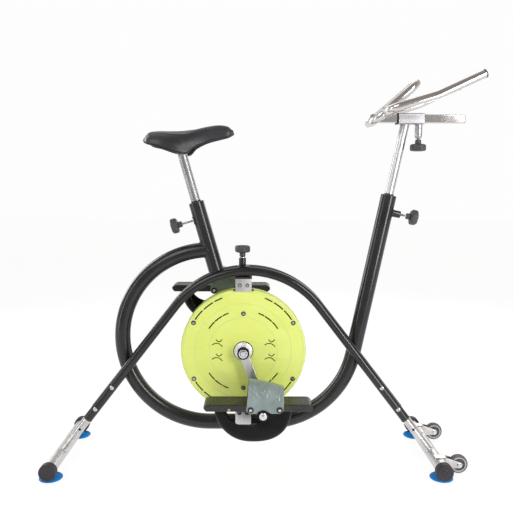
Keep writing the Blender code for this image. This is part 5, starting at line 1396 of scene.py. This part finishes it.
def saddle_rows(inset, drop, lift, long_steps, round_steps):
    """Sections of the saddle's outer form, moved in by inset at the sides and drop at the top."""
    ends = [math.pi / 2 * (i + 1) / 7 for i in range(6)]
    places = [(SADDLE_REAR - 0.0055 * math.cos(turn), math.sin(turn) ** 0.8, SADDLE_REAR) for turn in ends]
    for i in range(long_steps + 1):
        x = SADDLE_REAR + (SADDLE_NOSE - SADDLE_REAR) * i / long_steps
        places.append((x, 1.0, x))
    places += [(SADDLE_NOSE + 0.0050 * math.cos(turn), math.sin(turn) ** 0.8, SADDLE_NOSE) for turn in ends[::-1]]
    rows = []
    for x, size, station in places:
        half = max(smooth_table(station, 1) - inset, 0.004)
        top = smooth_table(station, 2) - drop
        low = min(smooth_table(station, 3) + lift, top - 0.003)
        middle = (top + low) / 2
        row = []
        for k in range(round_steps + 1):
            turned = math.pi * k / round_steps
            y = -half * math.copysign(abs(math.cos(turned)) ** 0.90, math.cos(turned))
            z = low + (top - low) * abs(math.sin(turned)) ** 0.86
            row.append(vec(SEAT_HEAD.x + x, y * size, SEAT_HEAD.z + middle + (z - middle) * size))
        rows.append(row)
    return rows


def saddle_outward(rows, i, k):
    along = rows[min(i + 1, len(rows) - 1)][k] - rows[max(i - 1, 0)][k]
    across = rows[i][min(k + 1, len(rows[i]) - 1)] - rows[i][max(k - 1, 0)]
    way = across.cross(along)
    return way.normalized() if way.length > 1e-9 else UP


def build_saddle():
    """The padded cover: panels held at their seams and swollen by a short cloth simulation."""
    outer = saddle_rows(0.0020, 0.0020, 0.0010, LONG_STEPS, ROUND_STEPS)
    inner = saddle_rows(0.0085, 0.0150, 0.0010, LONG_STEPS, ROUND_STEPS)
    last = len(outer) - 1
    rear_seam = min(range(last + 1), key=lambda i: abs(outer[i][0].x - SEAT_HEAD.x + 0.0840))
    seams = {(i, k) for i in range(4, last - 5) for k in (SEAM, ROUND_STEPS - SEAM)}
    for k in range(SEAM):
        bend = rear_seam - round(2.5 * (k / SEAM) ** 2)
        seams.update(((bend, k), (bend, ROUND_STEPS - k)))
    sunk = {(i, k): outer[i][k] - saddle_outward(outer, i, k) * 0.0016 for i, k in seams}
    for (i, k), point in sunk.items():
        outer[i][k] = point

    width = ROUND_STEPS + 1
    half = (last + 1) * width
    faces = []
    for i in range(last):
        for k in range(ROUND_STEPS):
            a, b = i * width + k, (i + 1) * width + k
            faces.append((a, b, b + 1, a + 1))
            faces.append((half + a, half + a + 1, half + b + 1, half + b))
        for k in (0, ROUND_STEPS):
            a, b = i * width + k, (i + 1) * width + k
            faces.append((a, b, half + b, half + a))
    for i in (0, last):
        for a in range(i * width, i * width + ROUND_STEPS):
            faces.append((a, a + 1, half + a + 1, half + a))
    mesh = bpy.data.meshes.new("saddle_cover")
    mesh.from_pydata([tuple(point) for rows in (outer, inner) for row in rows for point in row], [], faces)
    bm = bmesh.new()
    bm.from_mesh(mesh)
    bmesh.ops.recalc_face_normals(bm, faces=bm.faces)
    bm.to_mesh(mesh)
    bm.free()
    obj = bpy.data.objects.new("saddle_cover", mesh)
    PIECES.objects.link(obj)
    held = set(range(half, 2 * half)) | {i * width + k for i, k in seams}
    held |= {i * width + k for i in range(last + 1) for k in (0, ROUND_STEPS)}
    held |= {i * width + k for i in (0, 1, last - 1, last) for k in range(width)}
    obj.vertex_groups.new(name="held").add(sorted(held), 1.0, "REPLACE")
    swell(obj, 0.0034)
    mesh.materials.append(VINYL)
    mesh.shade_smooth()
    subdivide(obj)
    settle(obj, VINYL, "seat", node="saddle")
    build_saddle_trim(outer)


def swell(obj, cap):
    """Cloth pressure inside the closed cover, capped, and kept as the mesh."""
    scene = bpy.context.scene
    before = [vert.co.copy() for vert in obj.data.vertices]
    step = obj.modifiers.new("cloth", "CLOTH")
    settings = {"quality": 6, "mass": 0.2, "vertex_group_mass": "held", "use_pressure": True,
                "uniform_pressure_force": 4.0, "tension_stiffness": 12.0, "compression_stiffness": 12.0,
                "bending_stiffness": 0.6}
    for label, value in settings.items():
        setattr(step.settings, label, value)
    step.settings.effector_weights.gravity = 0.0
    step.collision_settings.use_collision = False
    step.point_cache.frame_start = 1
    step.point_cache.frame_end = 20
    for number in range(1, 21):
        scene.frame_set(number)
    graph = bpy.context.evaluated_depsgraph_get()
    after = [vert.co.copy() for vert in obj.evaluated_get(graph).data.vertices]
    obj.modifiers.clear()
    scene.frame_set(1)
    for vert, start, end in zip(obj.data.vertices, before, after):
        move = end - start
        if move.length > cap:
            move = move.normalized() * cap
        vert.co = start + move


def build_saddle_trim(outer):
    """Piping round the lower edge, stitches beside the seams, the plastic shell and the rail sockets."""
    edge = [row[0] for row in outer] + [row[ROUND_STEPS] for row in reversed(outer)]
    bm = bmesh.new()
    sweep(bm, [point + vec(0, 0, -0.0006) for point in edge], 0.0017, 12, True)
    piece("saddle_piping", PIPING, bm, None, "seat", 60)

    lines = []
    for k, away in ((SEAM, 1), (ROUND_STEPS - SEAM, -1)):
        for shift in (0.0030, -0.0030):
            line = []
            for i in range(5, len(outer) - 7):
                across = (outer[i][k + away] - outer[i][k - away]).normalized()
                line.append(outer[i][k] + across * shift + saddle_outward(outer, i, k) * 0.0016)
            lines.append(line)
    values = {"Spacing": 0.0042, "Bead Size": (0.0014, 0.00042, 0.0004), "Bead Sides": 6}
    grow("saddle_stitches", BEADS, line_mesh(lines), THREAD, values, "seat")

    bm = bmesh.new()
    sheet_faces(bm, saddle_rows(0.0095, 0.0154, 0.0030, 60, 40))
    bmesh.ops.recalc_face_normals(bm, faces=bm.faces)
    bmesh.ops.solidify(bm, geom=bm.faces[:], thickness=0.0024)
    socket = mm([(0, -4), (6.8, -4, 1.2), (6.2, 12, 1), (4, 12), (0, 10)], 3)
    for side in WAYS:
        line = rail_line(side)
        for place, inward in ((line[0], line[1]), (line[-1], line[-2])):
            turn(bm, socket, place, inward - place, 24)
    piece("saddle_shell", BLACK_PLASTIC, bm, None, "seat", 50, "saddle_vinyl")


# Handlebar

POST_X = column_point(SLIDER_Z).x


def bar_at(x, y, z):
    return vec(POST_X + x, y, z)


def rounded_box(bm, low_x, high_x, half, radius, wall=0.0, steps=5, soft=0.0006):
    """A square bar or sleeve along X about the slider's line, with rounded corners and soft ends."""
    def loop(x, size, corner):
        points = rounded([(0.0, size, size), (0.0, -size, size), (0.0, -size, -size), (0.0, size, -size)],
                         [corner] * 4, steps, True)
        arcs = [points[i:i + steps + 1] for i in range(0, len(points), steps + 1)]
        ring = []
        for i, part in enumerate(arcs):
            before, after = arcs[i - 1][-1], arcs[(i + 1) % 4][0]
            ring += [part[0] + (before - part[0]).normalized() * 0.0006, *part,
                     part[-1] + (after - part[-1]).normalized() * 0.0006]
        return [bm.verts.new(bar_at(x, point.y, SLIDER_Z + point.z)) for point in ring]

    stations = [(low_x, half - soft), (low_x + soft, half), (high_x - soft, half), (high_x, half - soft)]
    if high_x - low_x > 0.01:
        stations[2:2] = [(low_x + 2 * soft, half), (high_x - 2 * soft, half)]
    rings = [loop(*station, radius) for station in stations]
    if wall:
        rings += [loop(x, half - wall, max(radius - wall, 0.0012)) for x in (high_x, low_x)]
    skin(bm, rings, bool(wall))
    if not wall:
        bm.faces.new(rings[0])
        bm.faces.new(rings[-1])


def horn_line(side):
    path = [(0.1961, 0.110, 1.1953), (0.0636, 0.110, 1.1347), (-0.0750, 0.110, 1.0936), (-0.0750, 0.050, 1.0936)]
    return rounded([bar_at(x, side * y, z) for x, y, z in path], [0, 0.120, 0.036, 0], 20)


def build_handlebar():
    half = 0.0164
    path = [COLUMN_TOP - COLUMN_WAY * 0.250, COLUMN_TOP, column_point(SLIDER_Z - 0.0125)]
    rod("bar_stem_tube", BAR_POST_STEEL, path, BAR_POST_R, 48, "handlebar_post", "bar_stem", 0.0006)
    bm = bmesh.new()
    rounded_box(bm, -0.0267, 0.0534, half, 0.0032, 0.0016)
    boss_place = bar_at(SLIDE_KNOB_X, 0.0, SLIDER_Z)
    turn(bm, mm([(0, 15.4), (11.25, 15.4), (11.25, 52, 1.6), (8.8, 59.3, 1), (0, 59.3)]), boss_place, DOWN, 40)
    piece("slider_sleeve", SHADED_SLEEVE_STEEL, bm, None, "bar_stem", 34)
    foot = column_point(SLIDER_Z - half)
    ring = [foot + vec(0.0140 * x, 0.0138 * y, -0.0004) for x, y in arc(1.0, 0.0, 360.0, 48)]
    collar = [boss_place + vec(x, y, -half - 0.0003) for x, y in arc(0.0115, 0.0, 360.0, 40)]
    weld("sleeve_welds", [ring, collar], SHADED_SLEEVE_STEEL, 0.0015, "bar_stem")

    bm = bmesh.new()
    rounded_box(bm, -0.0305, -0.0270, half, 0.0030, 0.0030)
    rounded_box(bm, 0.0534, 0.0548, 0.0150, 0.0028, 0.0017)
    piece("slider_collars", BLACK_PLASTIC, bm, "slider_bush", "bar_stem", 34)
    bm = bmesh.new()
    rounded_box(bm, -0.1064, 0.1763, 0.013, 0.0030)
    piece("bar_slider", POLISHED, bm, "handlebar", "bar", 34)

    bm = bmesh.new()
    hoop = [bar_at(x, y, z) for x, y, z in ((-0.1104, -0.050, 1.064), (0.0242, -0.050, 1.1824),
                                            (0.0242, 0.050, 1.1824), (-0.1104, 0.050, 1.064))]
    sweep(bm, rounded(hoop, [0.036] * 4, 20, True), GRIP_R, 36, True)
    horns = [horn_line(side) for side in WAYS]
    for line in horns:
        sweep(bm, line, GRIP_R, 36, ends=0.0004)
    piece("bar_grips", POLISHED, bm, None, "bar", 40)

    bm = bmesh.new()
    plug = mm([(0, -2), (13.1, -2), (13.1, 1.8, 0.8), (10, 3.4, 1.6), (0, 3.8)], 3)
    for line in horns:
        turn(bm, plug, line[0], line[0] - line[1], 36)
    for x, way in ((0.1763, 1.0), (-0.1064, -1.0)):
        brick(bm, bar_at(x, 0.0, SLIDER_Z), (0, -11.8, -11.8), (way * 2, 11.8, 11.8))
    piece("bar_end_plugs", CHARCOAL, bm, None, "bar", 34)
    lines = [[line[-1] + vec(x, side * 0.0100, z) for x, z in arc(0.0129, 0.0, 360.0, 40)]
             for line, side in zip(horns, WAYS)]
    weld("bar_welds", lines, POLISHED, 0.0013, "bar")


# Everything is built here

build_tubes()
build_base()
for label, side in SIDES:
    build_wheel(label, side)
    build_disc(label, side)
    build_crank(label, side)
    build_pedal(label, side)
build_brackets()
knob("adjuster_knob", at(ADJUSTER_X, 0.0, 0.600), UP, 0.0, 0.075, "resistance_adjuster", "resistance_knob")
knob("seat_post_knob", seat_point(SEAT_KNOB_Z), SEAT_KNOB_WAY, 0.01505, 0.085, "seat_clamp_knob", "seat_knob")
knob("column_post_knob", column_point(COLUMN_KNOB_Z), COLUMN_KNOB_WAY, 0.0139, 0.091, "column_clamp_knob",
     "column_knob")
knob("bar_slide_knob", bar_at(SLIDE_KNOB_X, 0.0, SLIDER_Z), DOWN, 0.0133, 0.0865, "bar_clamp_knob", "slide_knob")
build_seat_post()
build_saddle()
build_handlebar()
for obj in list(SPARES.objects):
    bpy.data.objects.remove(obj, do_unlink=True)

# Inner parts that stay as they are, each with its own finish
INNER = {"brake_pad": BLACK_PLASTIC, "axle": BRIGHT, "left_bearing": LEG_STEEL, "right_bearing": LEG_STEEL}
for name, node in frame["nodes"].items():
    node.data.materials.clear()
    node.data.materials.append(INNER.get(name, CHARCOAL))


# Floor, light and camera

def build_floor():
    material = bpy.data.materials.new("pale_floor")
    material.use_nodes = True
    shader = material.node_tree.nodes["Principled BSDF"].inputs
    grey = (0.15, 0.15, 0.15, 1.0)
    for label, value in (("Base Color", grey), ("Roughness", 0.8), ("Specular IOR Level", 0.2),
                         ("Emission Color", grey), ("Emission Strength", 5.8)):
        shader[label].default_value = value
    mesh = bpy.data.meshes.new("studio_floor")
    corners = [(x, y, -0.0006) for x, y in ((-14.0, -1.5), (14.0, -1.5), (14.0, 16.0), (-14.0, 16.0))]
    mesh.from_pydata(corners, [], [(0, 1, 2, 3)])
    mesh.materials.append(material)
    floor = bpy.data.objects.new("studio_floor", mesh)
    bpy.context.scene.collection.objects.link(floor)


def area_light(name, place, target, size, power):
    lamp = bpy.data.lights.new(name, "AREA")
    lamp.shape = "RECTANGLE"
    lamp.size, lamp.size_y = size
    lamp.energy = power
    obj = bpy.data.objects.new(name, lamp)
    obj.location = place
    obj.rotation_euler = (Vector(target) - Vector(place)).to_track_quat("-Z", "Y").to_euler()
    obj.visible_camera = False
    bpy.context.scene.collection.objects.link(obj)


def ramp_node(tree, value, stops):
    """Colours along a direction's component, which runs from -1 to 1."""
    share = make(tree, "ShaderNodeMapRange", {"From Min": -1.0, "Value": value}).outputs[0]
    node = make(tree, "ShaderNodeValToRGB", {"Fac": share})
    elements = node.color_ramp.elements
    for element, (place, colour) in zip((elements[0], elements[-1]), (stops[0], stops[-1])):
        element.position = (place + 1) / 2
        element.color = (*colour, 1.0)
    for place, colour in stops[1:-1]:
        elements.new((place + 1) / 2).color = (*colour, 1.0)
    return node.outputs["Color"]


def build_world():
    """White to the camera; to everything else a room with a bright back, dim in front and overhead."""
    world = bpy.data.worlds.new("studio")
    bpy.context.scene.world = world
    world.use_nodes = True
    tree = world.node_tree
    tree.nodes.clear()
    way = tree.nodes.new("ShaderNodeTexCoord").outputs["Generated"]
    split = make(tree, "ShaderNodeSeparateXYZ", {0: way}).outputs
    height = ramp_node(tree, split["Z"], [(-0.02, (1.0, 1.0, 1.0)), (0.16, (0.90, 0.89, 0.885)),
                                          (0.36, (0.72, 0.69, 0.675)), (0.95, (0.60, 0.57, 0.555))])
    depth = ramp_node(tree, split["Y"], [(-0.85, (0.50, 0.485, 0.48)), (-0.25, (0.58, 0.57, 0.565)),
                                         (0.35, (0.90, 0.90, 0.90))])
    room = mix_colours(tree, 1.0, height, depth, blend_type="MULTIPLY")
    room = make(tree, "ShaderNodeBackground", {"Color": room})
    white = make(tree, "ShaderNodeBackground", {"Color": (0.985, 0.985, 0.985, 1.0)})
    camera_ray = tree.nodes.new("ShaderNodeLightPath").outputs["Is Camera Ray"]
    both = make(tree, "ShaderNodeMixShader", {0: camera_ray, 1: room.outputs[0], 2: white.outputs[0]})
    make(tree, "ShaderNodeOutputWorld", {"Surface": both.outputs[0]})


def build_camera():
    camera = bpy.data.cameras.new("photo_view")
    camera.lens = 42.105
    camera.sensor_width = 36.0
    obj = bpy.data.objects.new("photo_view", camera)
    pitch, yaw, roll = (math.radians(angle) for angle in (6.42, 0.62, -0.28))
    forward = vec(math.sin(yaw) * math.cos(pitch), math.cos(yaw) * math.cos(pitch), -math.sin(pitch))
    right = vec(math.cos(yaw), -math.sin(yaw), 0.0)
    up = right.cross(forward)
    right, up = (math.cos(roll) * right - math.sin(roll) * up, math.sin(roll) * right + math.cos(roll) * up)
    turned = Matrix((right, up, -forward)).transposed()
    obj.matrix_world = Matrix.Translation((-0.02575, -1.8748, 0.8623)) @ turned.to_4x4()
    bpy.context.scene.collection.objects.link(obj)
    bpy.context.scene.camera = obj


build_floor()
build_world()
build_camera()
area_light("key", (-1.5, -2.2, 2.5), (0.0, 0.0, 0.5), (1.6, 1.6), 24.0)
area_light("right_box", (1.46, -1.60, 1.1), (0.1, 0.0, 0.75), (0.50, 2.0), 32.0)
area_light("top", (0.0, 1.2, 2.8), (0.0, 0.0, 0.4), (2.4, 1.2), 8.0)
area_light("back", (1.4, 2.4, 1.6), (0.0, 0.0, 0.5), (1.6, 1.4), 12.0)
area_light("left_back", (-2.0, 1.3, 1.5), (0.0, 0.0, 0.7), (0.6, 1.8), 20.0)
area_light("left_strip", (-2.2, -1.0, 1.0), (0.0, 0.0, 0.6), (0.3, 2.2), 9.0)
bpy.context.scene.view_settings.view_transform = "Standard"
